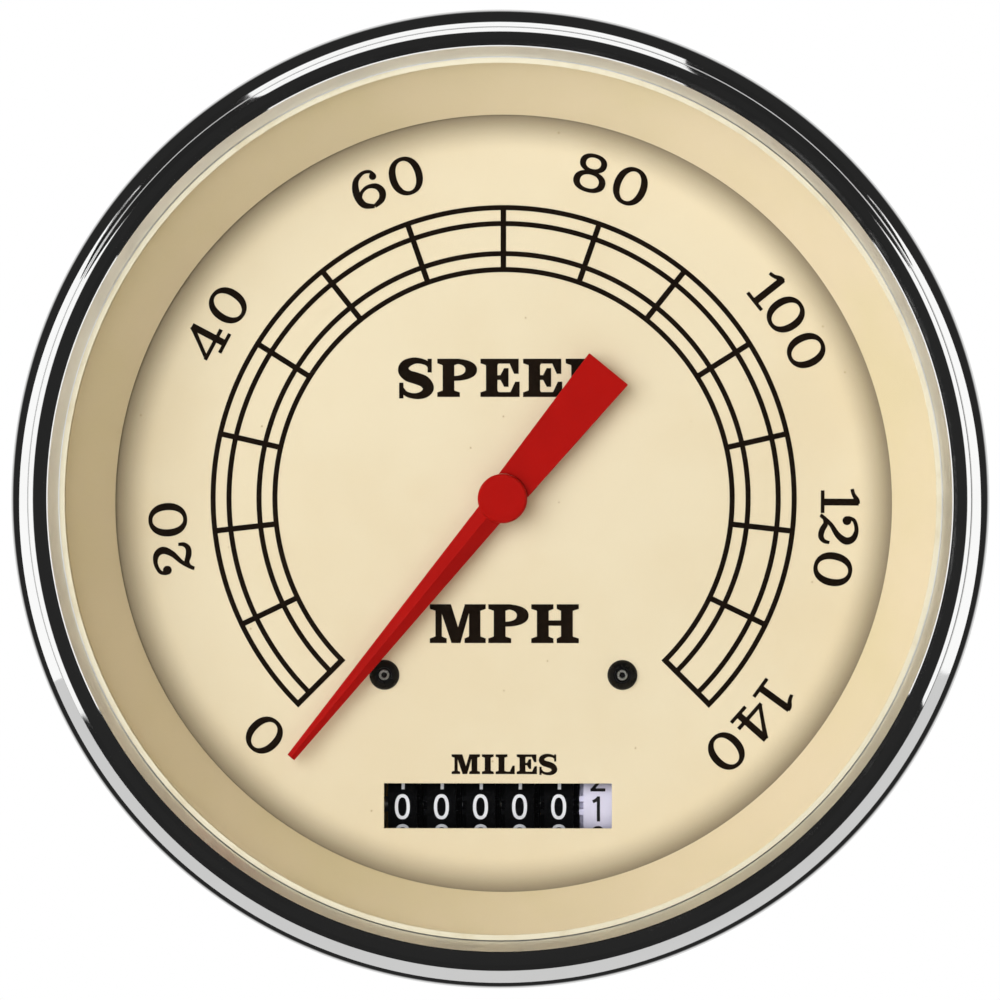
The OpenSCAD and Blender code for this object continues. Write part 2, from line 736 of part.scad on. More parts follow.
module odometer_frame() color("darkgoldenrod") stand_up() difference() {
    union() {
        slab(left_x0, left_x1, top_y0, frame_low_y, frame_front_z, web_z1);
        slab(plate_x0, plate_x1, top_y0, frame_low_y, frame_front_z, web_z1);
        slab(left_x0, plate_x1, top_y0, top_y1, frame_front_z, web_z1);
        slab(left_x0, plate_x1, top_y0, frame_low_y, web_z0, web_z1);
        slab(plate_x0, plate_x1, odo_y - idler_arm_w / 2, odo_y + idler_arm_w / 2,
            web_z0, idler_z + idler_arm_w / 2);
        at_sides(ear_x, 0)
            slab(-ear_w / 2, ear_w / 2, ear_y0, top_y1, bridge_z1, bridge_z1 + ear_t);
    }
    translate([0, odo_y, odo_z]) along_x()
        disc(odo_axle_r + running_gap, left_x0 - cut, plate_x1 + cut);
    translate([0, odo_y, pinion_z]) along_x()
        disc(pinion_axle_r + fit_gap, left_x0 - cut, plate_x1 + cut);
    translate([0, odo_y, idler_z]) along_x()
        disc(idler_stub_r + fit_gap, plate_x0 - cut, plate_x1 + cut);
    at_sides(ear_x, ear_screw_y)
        disc(frame_screw_r + thread_gap, bridge_z1 - cut, bridge_z1 + ear_t + cut);
}

module odometer_axle() color("gray") stand_up() translate([0, odo_y, odo_z]) along_x()
    disc(odo_axle_r, left_x0 - end_gap, counter_x + train_face / 2 + end_gap);

module odometer_screws() color("dimgray") stand_up() at_sides(ear_x, ear_screw_y)
    translate([0, 0, bridge_z0])
        slotted_screw(frame_head_r, frame_head_h, frame_screw_r, bridge_t + ear_t);

// Number wheel counted from the tenths; all but the first have a side gear,
// and all but the last have a two-tooth driver for the next transfer pinion
module number_wheel(index) {
    tone = index == 1 ? "lavender" : "black";
    bore = index == 1 ? odo_axle_r + fit_gap : odo_axle_r + running_gap;
    color(tone) stand_up()
        translate([tenths_x - (index - 1) * wheel_pitch, odo_y, odo_z]) along_x() difference() {
            union() {
                disc(wheel_r, -drum_w / 2, drum_w / 2);
                if (index > 1)
                    translate([0, 0, drum_w / 2]) rotate([0, 0, 180 / wheel_gear_teeth])
                        gear(wheel_gear_teeth, pinion_module, wheel_gear_t);
                if (index < wheel_count)
                    translate([0, 0, -drum_w / 2 - wheel_gear_t]) driver_disc();
            }
            disc(bore, -wheel_pitch, wheel_pitch);
        }
}

module driver_disc() {
    disc(driver_r, 0, wheel_gear_t);
    for (turn = [-0.5, 0.5]) rotate([0, 0, turn * driver_tooth_angle])
        slab(0, driver_tip_r, -driver_tooth_w / 2, driver_tooth_w / 2, 0, wheel_gear_t);
}

module pinion_axle() color("gray") stand_up() translate([0, odo_y, pinion_z]) along_x()
    disc(pinion_axle_r, left_x0, plate_x1);

module transfer_pinion(index) color("goldenrod") stand_up()
    translate([tenths_x - (index - 0.5) * wheel_pitch, odo_y, pinion_z]) along_x() difference() {
        translate([0, 0, -pinion_w / 2]) gear(pinion_teeth, pinion_module, pinion_w);
        disc(pinion_axle_r + running_gap, -wheel_pitch, wheel_pitch);
    }

// Deep-drawn can with a flange that the bezel is crimped round
module case() color("dimgray") stand_up() difference() {
    inner_corner = case_corner_r - case_sheet;
    rotate_extrude() polygon(concat(
        [[ring_r, -bezel_sheet - case_sheet], [ring_r, -bezel_sheet], [case_r, -bezel_sheet]],
        arc(case_r - case_corner_r, case_depth - case_corner_r, case_corner_r, 0, 90, 8),
        [[0, case_depth], [0, base_z1]],
        arc(case_in_r - inner_corner, base_z1 - inner_corner, inner_corner, 90, 0, 8),
        [[case_in_r, -bezel_sheet - case_sheet]]
    ));
    disc(neck_collar_r + hole_gap, base_z1 - cut, case_depth + cut);
    for (p = base_screw_spots) translate(p)
        disc(base_screw_r + hole_gap, base_z1 - cut, case_depth + cut);
    at_sides(lamp_x, -lamp_rise) disc(lamp_hole_r, base_z1 - cut, case_depth + cut);
    at_sides(stud_x, 0) disc(stud_r + fit_gap, base_z1 - cut, case_depth + cut);
}

module movement_screws() color("silver") stand_up() for (p = base_screw_spots)
    translate([p[0], p[1], case_depth]) rotate([180, 0, 0])
        slotted_screw(base_head_r, base_head_h, base_screw_r, base_screw_len);

module lamp_sockets() color("silver") stand_up() at_sides(lamp_x, -lamp_rise) difference() {
    union() {
        disc(lamp_hole_r - running_gap, case_depth - lamp_barrel_len, case_depth);
        disc(lamp_flange_r, case_depth, case_depth + lamp_flange_t);
        disc(lamp_tail_r, case_depth + lamp_flange_t, case_depth + lamp_tail_len);
    }
    disc(bulb_r + running_gap, case_depth - lamp_barrel_len - cut, case_depth - lamp_barrel_len / 2);
}

module lamp_bulbs() color("white", 0.5) stand_up() at_sides(lamp_x, -lamp_rise) {
    foot_z = case_depth - lamp_barrel_len / 2;
    rotate_extrude() polygon(concat(
        [[0, foot_z], [bulb_r, foot_z]],
        arc(0, foot_z - bulb_len, bulb_r, 0, -90, 16)
    ));
}

module mounting_studs() color("silver") stand_up() at_sides(stud_x, 0) union() {
    disc(stud_head_r, base_z1 - stud_head_t, base_z1);
    disc(stud_r, base_z1, case_depth + stud_len);
}

// U-shaped strip that pulls the bezel against the panel
module clamp_bracket() color("silver") stand_up() difference() {
    out = clamp_in + clamp_t;
    union() {
        slab(-out, out, -clamp_w / 2, clamp_w / 2, clamp_z0, clamp_z1);
        disc(clamp_ring_r, clamp_z0, clamp_z1);
        slab(-out, -clamp_in, -clamp_w / 2, clamp_w / 2, panel_gap, clamp_z1);
        slab(clamp_in, out, -clamp_w / 2, clamp_w / 2, panel_gap, clamp_z1);
    }
    disc(clamp_hole_r, clamp_z0 - cut, clamp_z1 + cut);
    at_sides(stud_x, 0) disc(stud_r + 2 * hole_gap, clamp_z0 - cut, clamp_z1 + cut);
}

module lock_washers() color("silver") stand_up() at_sides(stud_x, 0)
    tube(washer_r, stud_r + hole_gap, clamp_z1, clamp_z1 + washer_t);

module thumb_nuts() color("silver") stand_up() at_sides(stud_x, 0) difference() {
    z0 = clamp_z1 + washer_t;
    tube(nut_r, stud_r + thread_gap, z0, z0 + nut_h);
    for (i = [0:nut_grips - 1]) rotate([0, 0, 360 * i / nut_grips]) translate([nut_r, 0, 0])
        disc(nut_grip_r, z0 - cut, z0 + nut_h + cut);
}

bezel();
lens_gasket();
glass_lens();
visor_ring();
dial();
dial_screws();
pointer_needle();
pointer_tail();
pointer_boss();
pointer_spindle();
stop_arm();
speed_cup();
hairspring_collet();
hairspring();
hairspring_stud();
stop_pins();
bridge_plate();
spindle_bush();
dial_posts();
frame_pillars();
pillar_screws();
movement_base();
drive_bush();
drive_shaft();
magnet();
field_cup();
drive_worm();
thrust_collar();
counter_shaft();
worm_wheel();
counter_worm();
counter_bracket();
counter_screws();
idler_gear();
idler_stub();
odometer_gear();
odometer_frame();
odometer_axle();
odometer_screws();
number_wheel(1);  // number_wheel_1
number_wheel(2);  // number_wheel_2
number_wheel(3);  // number_wheel_3
number_wheel(4);  // number_wheel_4
number_wheel(5);  // number_wheel_5
number_wheel(6);  // number_wheel_6
pinion_axle();
transfer_pinion(1);  // transfer_pinion_1
transfer_pinion(2);  // transfer_pinion_2
transfer_pinion(3);  // transfer_pinion_3
transfer_pinion(4);  // transfer_pinion_4
transfer_pinion(5);  // transfer_pinion_5
case();
movement_screws();
lamp_sockets();
lamp_bulbs();
mounting_studs();
clamp_bracket();
lock_washers();
thumb_nuts();
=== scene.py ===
"""Looks of a vintage dashboard speedometer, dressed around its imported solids.

The dial faces -Y with +Z up, and lengths are in metres unless a name says otherwise.
"""

import logging
import math
from dataclasses import dataclass, field
from enum import Enum
from typing import Callable, Sequence

import bmesh
import bpy
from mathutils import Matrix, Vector
from mathutils.geometry import delaunay_2d_cdt


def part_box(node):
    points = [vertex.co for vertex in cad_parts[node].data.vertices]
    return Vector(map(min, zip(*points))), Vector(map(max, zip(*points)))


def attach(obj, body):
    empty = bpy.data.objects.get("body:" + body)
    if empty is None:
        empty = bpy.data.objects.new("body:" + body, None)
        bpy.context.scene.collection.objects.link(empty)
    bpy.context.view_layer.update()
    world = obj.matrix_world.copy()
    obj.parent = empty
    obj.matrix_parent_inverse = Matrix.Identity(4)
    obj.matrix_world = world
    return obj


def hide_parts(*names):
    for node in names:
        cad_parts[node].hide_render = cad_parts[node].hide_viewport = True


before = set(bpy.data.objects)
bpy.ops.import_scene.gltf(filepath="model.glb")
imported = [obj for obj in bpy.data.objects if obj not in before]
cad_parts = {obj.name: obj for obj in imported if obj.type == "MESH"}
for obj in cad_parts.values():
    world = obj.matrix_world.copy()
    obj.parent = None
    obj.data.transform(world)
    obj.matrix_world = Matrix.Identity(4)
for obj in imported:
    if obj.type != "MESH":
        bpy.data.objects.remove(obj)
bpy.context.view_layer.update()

log = logging.getLogger("speedometer")

MM = 0.001
JOIN = 1e-7
CREASE = 15.0
WELD_WITHIN = 0.001 * MM
SOFT_STEPS = 2
SOFT_FROM = 35.0
MIX_SHARE = 0
MIX_FIRST = 6
MIX_SECOND = 7
MIX_RESULT = 2
FILLED_ONLY = 1
WHITE = (1.0, 1.0, 1.0, 1.0)

Colour = tuple[float, float, float, float]
Point = tuple[float, float]
Knot = tuple[float, float, float]
Polygon = list[Point]
Value = float | int | Sequence[float] | bpy.types.NodeSocket
Placer = Callable[[float, float, float], Vector]


def tint(red: int, green: int, blue: int) -> Colour:
    """Turns a screen colour into a linear one.

    Args:
        red: Red from 0 to 255.
        green: Green from 0 to 255.
        blue: Blue from 0 to 255.

    Returns:
        The linear colour with an alpha of one.
    """
    linear = []
    for level in (red, green, blue):
        share = level / 255
        linear.append(share / 12.92 if share <= 0.04045 else ((share + 0.055) / 1.055) ** 2.4)
    return (linear[0], linear[1], linear[2], 1.0)


@dataclass
class Graph:
    """A shader node tree while it is being wired."""

    tree: bpy.types.NodeTree

    def feed(self, socket: bpy.types.NodeSocket, value: Value) -> None:
        """Links a socket to an input, or sets the input's plain value.

        Args:
            socket: The input that takes the value.
            value: A plain value, or an output to link from.
        """
        if isinstance(value, bpy.types.NodeSocket):
            self.tree.links.new(value, socket)
        else:
            socket.default_value = value

    def node(self, kind: str, inputs: dict | None = None, **settings: object) -> bpy.types.Node:
        """Adds a node.

        Args:
            kind: Blender's name of the node type.
            inputs: Values or links by input name or number.
            **settings: Properties of the node.

        Returns:
            The new node.
        """
        made = self.tree.nodes.new(kind)
        for name, value in settings.items():
            setattr(made, name, value)
        for key, value in (inputs or {}).items():
            self.feed(made.inputs[key], value)
        return made

    def sum(self, operation: str, first: Value, second: Value = 0.0) -> bpy.types.NodeSocket:
        """Works out one step of arithmetic on one or two numbers."""
        return self.node("ShaderNodeMath", {0: first, 1: second}, operation=operation).outputs[0]

    def remap(self, value: Value, low: Value, high: Value, start: Value,
              end: Value) -> bpy.types.NodeSocket:
        """Carries a number smoothly from the range low to high into the range start to end."""
        inputs = {"Value": value, "From Min": low, "From Max": high, "To Min": start, "To Max": end}
        return self.node("ShaderNodeMapRange", inputs, interpolation_type="SMOOTHSTEP").outputs["Result"]

    def blend(self, share: Value, first: Value, second: Value) -> bpy.types.NodeSocket:
        """Mixes two colours by the share of the second."""
        inputs = {MIX_SHARE: share, MIX_FIRST: first, MIX_SECOND: second}
        return self.node("ShaderNodeMix", inputs, data_type="RGBA").outputs[MIX_RESULT]

    def object_place(self) -> bpy.types.NodeSocket:
        """Gives the place on the piece in its own coordinates."""
        return self.node("ShaderNodeTexCoord").outputs["Object"]

    def axis_radius(self, place: Value) -> bpy.types.NodeSocket:
        """Measures how far a place lies from the gauge's axis.

        Args:
            place: The place.

        Returns:
            The distance.
        """
        across = self.node("ShaderNodeVectorMath", {0: place, 1: (1.0, 0.0, 1.0)}, operation="MULTIPLY")
        length = self.node("ShaderNodeVectorMath", {0: across.outputs[0]}, operation="LENGTH")
        return length.outputs["Value"]


class Effect(Enum):
    """Surface effects that several finishes share."""

    GRAIN = "fine_grain"
    MOTTLE = "mottling"
    SPECKS = "specks"
    TURNED = "turned_marks"


@dataclass
class EffectShelf:
    """Keeps each shared effect as one node group."""

    groups: dict[Effect, bpy.types.NodeTree] = field(default_factory=dict)

    def open_group(self, effect: Effect, inputs: dict[str, float],
                   output: str) -> tuple[Graph, dict, bpy.types.Node]:
        """Starts an effect's node group.

        Args:
            effect: The effect to build.
            inputs: The group's number inputs with their first values.
            output: The name of the group's only output.

        Returns:
            The graph, the group's inputs by name and its output node.
        """
        tree = bpy.data.node_groups.new(effect.value, "ShaderNodeTree")
        for name, value in inputs.items():
            socket = tree.interface.new_socket(name, in_out="INPUT", socket_type="NodeSocketFloat")
            socket.default_value = value
        tree.interface.new_socket(output, in_out="OUTPUT", socket_type="NodeSocketFloat")
        graph = Graph(tree)
        given = graph.node("NodeGroupInput").outputs
        self.groups[effect] = tree
        return graph, {name: given[name] for name in inputs}, graph.node("NodeGroupOutput")

    def build(self) -> None:
        """Builds every shared effect."""
        self.build_grain()
        self.build_mottle()
        self.build_specks()
        self.build_turned()

    def build_grain(self) -> None:
        """Builds an even fine texture, such as orange peel or a cast skin."""
        graph, given, end = self.open_group(Effect.GRAIN, {"Scale": 1000.0, "Detail": 3.0}, "Height")
        noise = graph.node("ShaderNodeTexNoise", {"Vector": graph.object_place(), **given})
        graph.feed(end.inputs["Height"], noise.outputs[0])

    def build_mottle(self) -> None:
        """Builds soft patches, as on aged paint or handled metal."""
        inputs = {"Scale": 60.0, "Low": 0.4, "High": 0.65}
        graph, given, end = self.open_group(Effect.MOTTLE, inputs, "Mask")
        cloud = {"Vector": graph.object_place(), "Scale": given["Scale"], "Detail": 6.0, "Roughness": 0.6}
        noise = graph.node("ShaderNodeTexNoise", cloud)
        mask = graph.remap(noise.outputs[0], given["Low"], given["High"], 0.0, 1.0)
        graph.feed(end.inputs["Mask"], mask)

    def build_specks(self) -> None:
        """Builds small scattered spots."""
        inputs = {"Scale": 400.0, "Size": 0.12, "Share": 0.2}
        graph, given, end = self.open_group(Effect.SPECKS, inputs, "Mask")
        lattice = {"Vector": graph.object_place(), "Scale": given["Scale"]}
        cells = graph.node("ShaderNodeTexVoronoi", lattice)
        chance = graph.node("ShaderNodeSeparateColor", {0: cells.outputs["Color"]}).outputs[0]
        chosen = graph.sum("LESS_THAN", chance, given["Share"])
        spot = graph.remap(cells.outputs["Distance"], 0.0, given["Size"], 1.0, 0.0)
        graph.feed(end.inputs["Mask"], graph.sum("MULTIPLY", spot, chosen))

    def build_turned(self) -> None:
        """Builds fine rings round the gauge's axis, as a lathe leaves them."""
        graph, given, end = self.open_group(Effect.TURNED, {"Rings": 3000.0}, "Height")
        place = graph.object_place()
        depth = graph.node("ShaderNodeSeparateXYZ", {0: place}).outputs["Y"]
        along = graph.sum("ADD", graph.axis_radius(place), depth)
        rings = {"W": graph.sum("MULTIPLY", along, given["Rings"]), "Scale": 1.0, "Detail": 2.0}
        noise = graph.node("ShaderNodeTexNoise", rings, noise_dimensions="1D")
        graph.feed(end.inputs["Height"], noise.outputs[0])

    def place(self, graph: Graph, effect: Effect, **values: float) -> bpy.types.NodeSocket:
        """Puts an effect into a material.

        Args:
            graph: The material's graph.
            effect: The effect to place.
            **values: The effect's inputs by name.

        Returns:
            The effect's output.
        """
        made = graph.node("ShaderNodeGroup", node_tree=self.groups[effect])
        for name, value in values.items():
            made.inputs[name].default_value = value
        return made.outputs[0]


EFFECTS = EffectShelf()


def start_material(name: str) -> tuple[bpy.types.Material, Graph, bpy.types.Node, bpy.types.Node]:
    """Starts a material with a Principled shader.

    Args:
        name: The material's name.

    Returns:
        The material, its graph, its shader and its output node.
    """
    material = bpy.data.materials.new(name)
    material.use_nodes = True
    graph = Graph(material.node_tree)
    graph.tree.nodes.clear()
    shader = graph.node("ShaderNodeBsdfPrincipled")
    output = graph.node("ShaderNodeOutputMaterial", {"Surface": shader.outputs[0]})
    return material, graph, shader, output


def raise_bump(graph: Graph, shader: bpy.types.Node, height: bpy.types.NodeSocket, depth: float) -> None:
    """Gives a shader a fine relief in which a height of one stands for the depth."""
    bump = graph.node("ShaderNodeBump", {"Height": height, "Strength": 1.0, "Distance": depth})
    graph.feed(shader.inputs["Normal"], bump.outputs[0])


@dataclass(frozen=True)
class Metal:
    """A bare or plated metal with patches of tarnish, part of which may have gone to dull oxide."""

    name: str
    colour: Colour
    tarnish: Colour
    patch_scale: float = 120.0
    tarnish_low: float = 0.45
    tarnish_high: float = 0.8
    smooth: float = 0.25
    dull: float = 0.4
    smudges_a_patch: float = 3.0
    smudge_low: float = 0.35
    smudge_high: float = 0.7
    grain_scale: float = 2500.0
    grain_detail: float = 3.0
    grain_depth: float = 0.01 * MM
    turned: bool = False
    bare_share: float = 1.0

    def material(self) -> bpy.types.Material:
        """Builds the metal's material."""
        material, graph, shader, _ = start_material(self.name)
        shader.inputs["Metallic"].default_value = self.bare_share
        patches = EFFECTS.place(graph, Effect.MOTTLE, Scale=self.patch_scale, Low=self.tarnish_low,
                                High=self.tarnish_high)
        smudges = EFFECTS.place(graph, Effect.MOTTLE, Scale=self.smudges_a_patch * self.patch_scale,
                                Low=self.smudge_low, High=self.smudge_high)
        graph.feed(shader.inputs["Base Color"], graph.blend(patches, self.colour, self.tarnish))
        graph.feed(shader.inputs["Roughness"], graph.remap(smudges, 0.0, 1.0, self.smooth, self.dull))
        if self.turned:
            relief = EFFECTS.place(graph, Effect.TURNED, Rings=self.grain_scale)
        else:
            relief = EFFECTS.place(graph, Effect.GRAIN, Scale=self.grain_scale, Detail=self.grain_detail)
        raise_bump(graph, shader, relief, self.grain_depth)
        return material


@dataclass(frozen=True)
class Enamel:
    """Stoved paint with a slight peel, faint patches and, where it has them, a few specks."""

    name: str
    colour: Colour
    aged: Colour
    patch_scale: float = 60.0
    patch_low: float = 0.35
    patch_high: float = 0.75
    smooth: float = 0.3
    dull: float = 0.45
    peel_scale: float = 900.0
    peel_detail: float = 2.0
    peel_depth: float = 0.02 * MM
    specks: Colour | None = None
    speck_scale: float = 500.0
    speck_size: float = 0.2
    speck_share: float = 0.08
    shine: float = 0.5

    def material(self) -> bpy.types.Material:
        """Builds the paint's material."""
        material, graph, shader, _ = start_material(self.name)
        shader.inputs["Specular IOR Level"].default_value = self.shine
        patches = EFFECTS.place(graph, Effect.MOTTLE, Scale=self.patch_scale, Low=self.patch_low,
                                High=self.patch_high)
        colour = graph.blend(patches, self.colour, self.aged)
        if self.specks:
            spots = EFFECTS.place(graph, Effect.SPECKS, Scale=self.speck_scale, Size=self.speck_size,
                                  Share=self.speck_share)
            colour = graph.blend(spots, colour, self.specks)
        graph.feed(shader.inputs["Base Color"], colour)
        graph.feed(shader.inputs["Roughness"], graph.remap(patches, 0.0, 1.0, self.smooth, self.dull))
        peel = EFFECTS.place(graph, Effect.GRAIN, Scale=self.peel_scale, Detail=self.peel_detail)
        raise_bump(graph, shader, peel, self.peel_depth)
        return material


@dataclass(frozen=True)
class DialEnamel:
    """Cream dial enamel with a painted shadow that deepens the visor's rendered shadow towards the rim."""

    name: str
    colour: Colour
    aged: Colour
    # Colour of the painted visor shadow at the dial's rim.
    painted_shadow: Colour
    foxing: Colour
    # Where the painted visor shadow begins and ends, and how far down its centre sits.
    painted_shadow_from: float
    painted_shadow_to: float
    painted_shadow_drop: float
    patch_scale: float = 45.0
    patch_low: float = 0.35
    patch_high: float = 0.75
    spot_scale: float = 700.0
    spot_size: float = 0.16
    spot_share: float = 0.05
    smooth: float = 0.42
    dull: float = 0.55
    shine: float = 0.15
    grain_scale: float = 2600.0
    grain_detail: float = 3.0
    grain_depth: float = 0.006 * MM

    def material(self) -> bpy.types.Material:
        """Builds the dial's material."""
        material, graph, shader, _ = start_material(self.name)
        shader.inputs["Specular IOR Level"].default_value = self.shine
        # Painted shadow: the colour darkens towards the rim, centred on the visor's lowered inner edge.
        lift = {0: graph.object_place(), 1: (0.0, 0.0, self.painted_shadow_drop)}
        centred = graph.node("ShaderNodeVectorMath", lift, operation="ADD").outputs[0]
        rim = graph.remap(graph.axis_radius(centred), self.painted_shadow_from, self.painted_shadow_to, 0.0, 1.0)
        patches = EFFECTS.place(graph, Effect.MOTTLE, Scale=self.patch_scale, Low=self.patch_low,
                                High=self.patch_high)
        spots = EFFECTS.place(graph, Effect.SPECKS, Scale=self.spot_scale, Size=self.spot_size,
                              Share=self.spot_share)
        colour = graph.blend(patches, self.colour, self.aged)
        colour = graph.blend(spots, colour, self.foxing)
        # The painted shadow is laid over the enamel's own colour.
        graph.feed(shader.inputs["Base Color"], graph.blend(rim, colour, self.painted_shadow))
        graph.feed(shader.inputs["Roughness"], graph.remap(patches, 0.0, 1.0, self.smooth, self.dull))
        grain = EFFECTS.place(graph, Effect.GRAIN, Scale=self.grain_scale, Detail=self.grain_detail)
        raise_bump(graph, shader, grain, self.grain_depth)
        return material


@dataclass(frozen=True)
class Moulding:
    """Moulded plastic, rubber or printing ink with a fine even grain."""

    name: str
    colour: Colour
    scuffed: Colour
    scuff_scale: float = 260.0
    scuff_low: float = 0.45
    scuff_high: float = 0.8
    smooth: float = 0.4
    dull: float = 0.6
    grain_scale: float = 3000.0
    grain_detail: float = 2.0
    grain_depth: float = 0.006 * MM
    shine: float = 0.3

    def material(self) -> bpy.types.Material:
        """Builds the moulding's material."""
        material, graph, shader, _ = start_material(self.name)
        shader.inputs["Specular IOR Level"].default_value = self.shine
        scuffs = EFFECTS.place(graph, Effect.MOTTLE, Scale=self.scuff_scale, Low=self.scuff_low,
                               High=self.scuff_high)
        graph.feed(shader.inputs["Base Color"], graph.blend(scuffs, self.colour, self.scuffed))
        graph.feed(shader.inputs["Roughness"], graph.remap(scuffs, 0.0, 1.0, self.smooth, self.dull))
        grain = EFFECTS.place(graph, Effect.GRAIN, Scale=self.grain_scale, Detail=self.grain_detail)
        raise_bump(graph, shader, grain, self.grain_depth)
        return material


@dataclass(frozen=True)
class ClearGlass:
    """Clear glass that lets lamp light and soft light straight through."""

    name: str
    colour: Colour
    refraction: float = 1.45
    smear_scale: float = 40.0
    smear_low: float = 0.5
    smear_high: float = 0.9
    smear_rough: float = 0.012

    def material(self) -> bpy.types.Material:
        """Builds the glass."""
        material, graph, shader, output = start_material(self.name)
        shader.inputs["Base Color"].default_value = self.colour
        shader.inputs["IOR"].default_value = self.refraction
        shader.inputs["Transmission Weight"].default_value = 1.0
        smears = EFFECTS.place(graph, Effect.MOTTLE, Scale=self.smear_scale, Low=self.smear_low,
                               High=self.smear_high)
        graph.feed(shader.inputs["Roughness"], graph.remap(smears, 0.0, 1.0, 0.0, self.smear_rough))
        path = graph.node("ShaderNodeLightPath").outputs
        through = graph.sum("ADD", path["Is Shadow Ray"], path["Is Diffuse Ray"])
        clear = graph.node("ShaderNodeBsdfTransparent", {"Color": WHITE})
        mixed = graph.node("ShaderNodeMixShader", {0: through, 1: shader.outputs[0], 2: clear.outputs[0]})
        graph.feed(output.inputs["Surface"], mixed.outputs[0])
        return material


CHROME = Metal("bright_chrome", (0.95, 0.95, 0.945, 1.0), (0.91, 0.91, 0.9, 1.0), patch_scale=70.0,
               smooth=0.035, dull=0.07, grain_scale=160.0, grain_depth=0.004 * MM)
SATIN_CHROME = Metal("satin_chrome", (0.93, 0.93, 0.91, 1.0), (0.88, 0.88, 0.86, 1.0), patch_scale=70.0,
                     smooth=0.3, dull=0.38, grain_scale=160.0, grain_depth=0.004 * MM)
DARK_STEEL = Metal("blued_steel", tint(176, 176, 172), tint(120, 120, 120), patch_scale=700.0, smooth=0.26,
                   dull=0.4)
STEEL = Metal("ground_steel", tint(190, 192, 194), tint(150, 148, 144), smooth=0.28, dull=0.45)
BRASS = Metal("machined_brass", tint(214, 178, 104), tint(172, 134, 74), smooth=0.24, dull=0.42)
BRONZE = Metal("sintered_bronze", tint(186, 140, 92), tint(140, 100, 66), smooth=0.4, dull=0.55)
ALUMINIUM = Metal("spun_aluminium", tint(214, 216, 218), tint(188, 190, 192), smooth=0.3, dull=0.42,
                  turned=True)
MAGNET = Metal("cast_magnet_alloy", tint(112, 112, 114), tint(84, 82, 80), smooth=0.5, dull=0.7,
               grain_scale=1500.0, grain_depth=0.03 * MM)
DIE_CAST = Metal("die_cast_alloy", tint(184, 186, 188), tint(164, 164, 162), smooth=0.42, dull=0.55,
                 grain_scale=1400.0, grain_depth=0.02 * MM, bare_share=0.5)
ZINC = Metal("zinc_plate", tint(204, 206, 206), tint(180, 179, 172), smooth=0.34, dull=0.46,
             grain_scale=1800.0, grain_depth=0.012 * MM, bare_share=0.6)
CASE_PAINT = Enamel("case_enamel", tint(62, 64, 66), tint(52, 54, 55), smooth=0.32, dull=0.46,
                    specks=tint(92, 92, 90))
VISOR_PAINT = Enamel("visor_enamel", tint(237, 218, 181), tint(230, 213, 170), patch_scale=35.0, smooth=0.4,
                     dull=0.5, peel_depth=0.006 * MM, shine=0.2)
POINTER_RED = Enamel("pointer_enamel", tint(174, 14, 8), tint(164, 12, 7), patch_scale=90.0, smooth=0.3,
                     dull=0.4, peel_scale=1600.0, peel_depth=0.004 * MM, shine=0.06)
BLACK_OXIDE = Enamel("black_oxide", tint(9, 9, 9), tint(18, 17, 16), patch_scale=500.0, smooth=0.25,
                     dull=0.4, peel_scale=3000.0, peel_depth=0.004 * MM, shine=0.12)
GASKET = Moulding("aged_rubber", tint(236, 226, 196), tint(222, 208, 172), smooth=0.6, dull=0.8)
WHEEL_BLACK = Moulding("wheel_black", tint(8, 8, 9), tint(13, 13, 14), shine=0.02)
WHEEL_PALE = Moulding("wheel_pale", tint(222, 218, 236), tint(208, 204, 222))
DIAL_CREAM = tint(239, 223, 188)
DIAL_AGED = tint(235, 217, 180)
# Colour of the painted shadow of the visor round the dial's rim.
DIAL_PAINTED_SHADOW = tint(146, 131, 104)
DIAL_FOXING = tint(196, 170, 126)
DIAL_INK = Moulding("dial_ink", tint(22, 13, 5), tint(30, 20, 10), smooth=0.5, dull=0.65, shine=0.05)
WHITE_INK = Moulding("white_ink", tint(236, 236, 238), tint(218, 218, 222), smooth=0.5, dull=0.65)
BLACK_INK = Moulding("black_ink", tint(22, 20, 22), tint(34, 32, 34), smooth=0.5, dull=0.65)
FLAT_GLASS = ClearGlass("flat_glass", (0.99, 0.995, 0.992, 1.0))
BULB_GLASS = ClearGlass("bulb_glass", (0.97, 0.97, 0.96, 1.0))


def lay_smooth(mesh: bpy.types.Mesh, sharp_degrees: float) -> None:
    """Shades a mesh smooth, with creases where faces meet at a sharp angle."""
    mesh.shade_smooth()
    mesh.set_sharp_from_angle(angle=math.radians(sharp_degrees))


def new_piece(name: str, points: list, faces: list, material: bpy.types.Material) -> bpy.types.Object:
    """Makes a mesh object and puts it in the scene.

    Args:
        name: The piece's name.
        points: The mesh's points.
        faces: The mesh's faces.
        material: The piece's finish.

    Returns:
        The new object.
    """
    mesh = bpy.data.meshes.new(name)
    mesh.from_pydata(points, [], faces)
    mesh.materials.append(material)
    mesh.validate()
    piece = bpy.data.objects.new(name, mesh)
    bpy.context.scene.collection.objects.link(piece)
    return piece


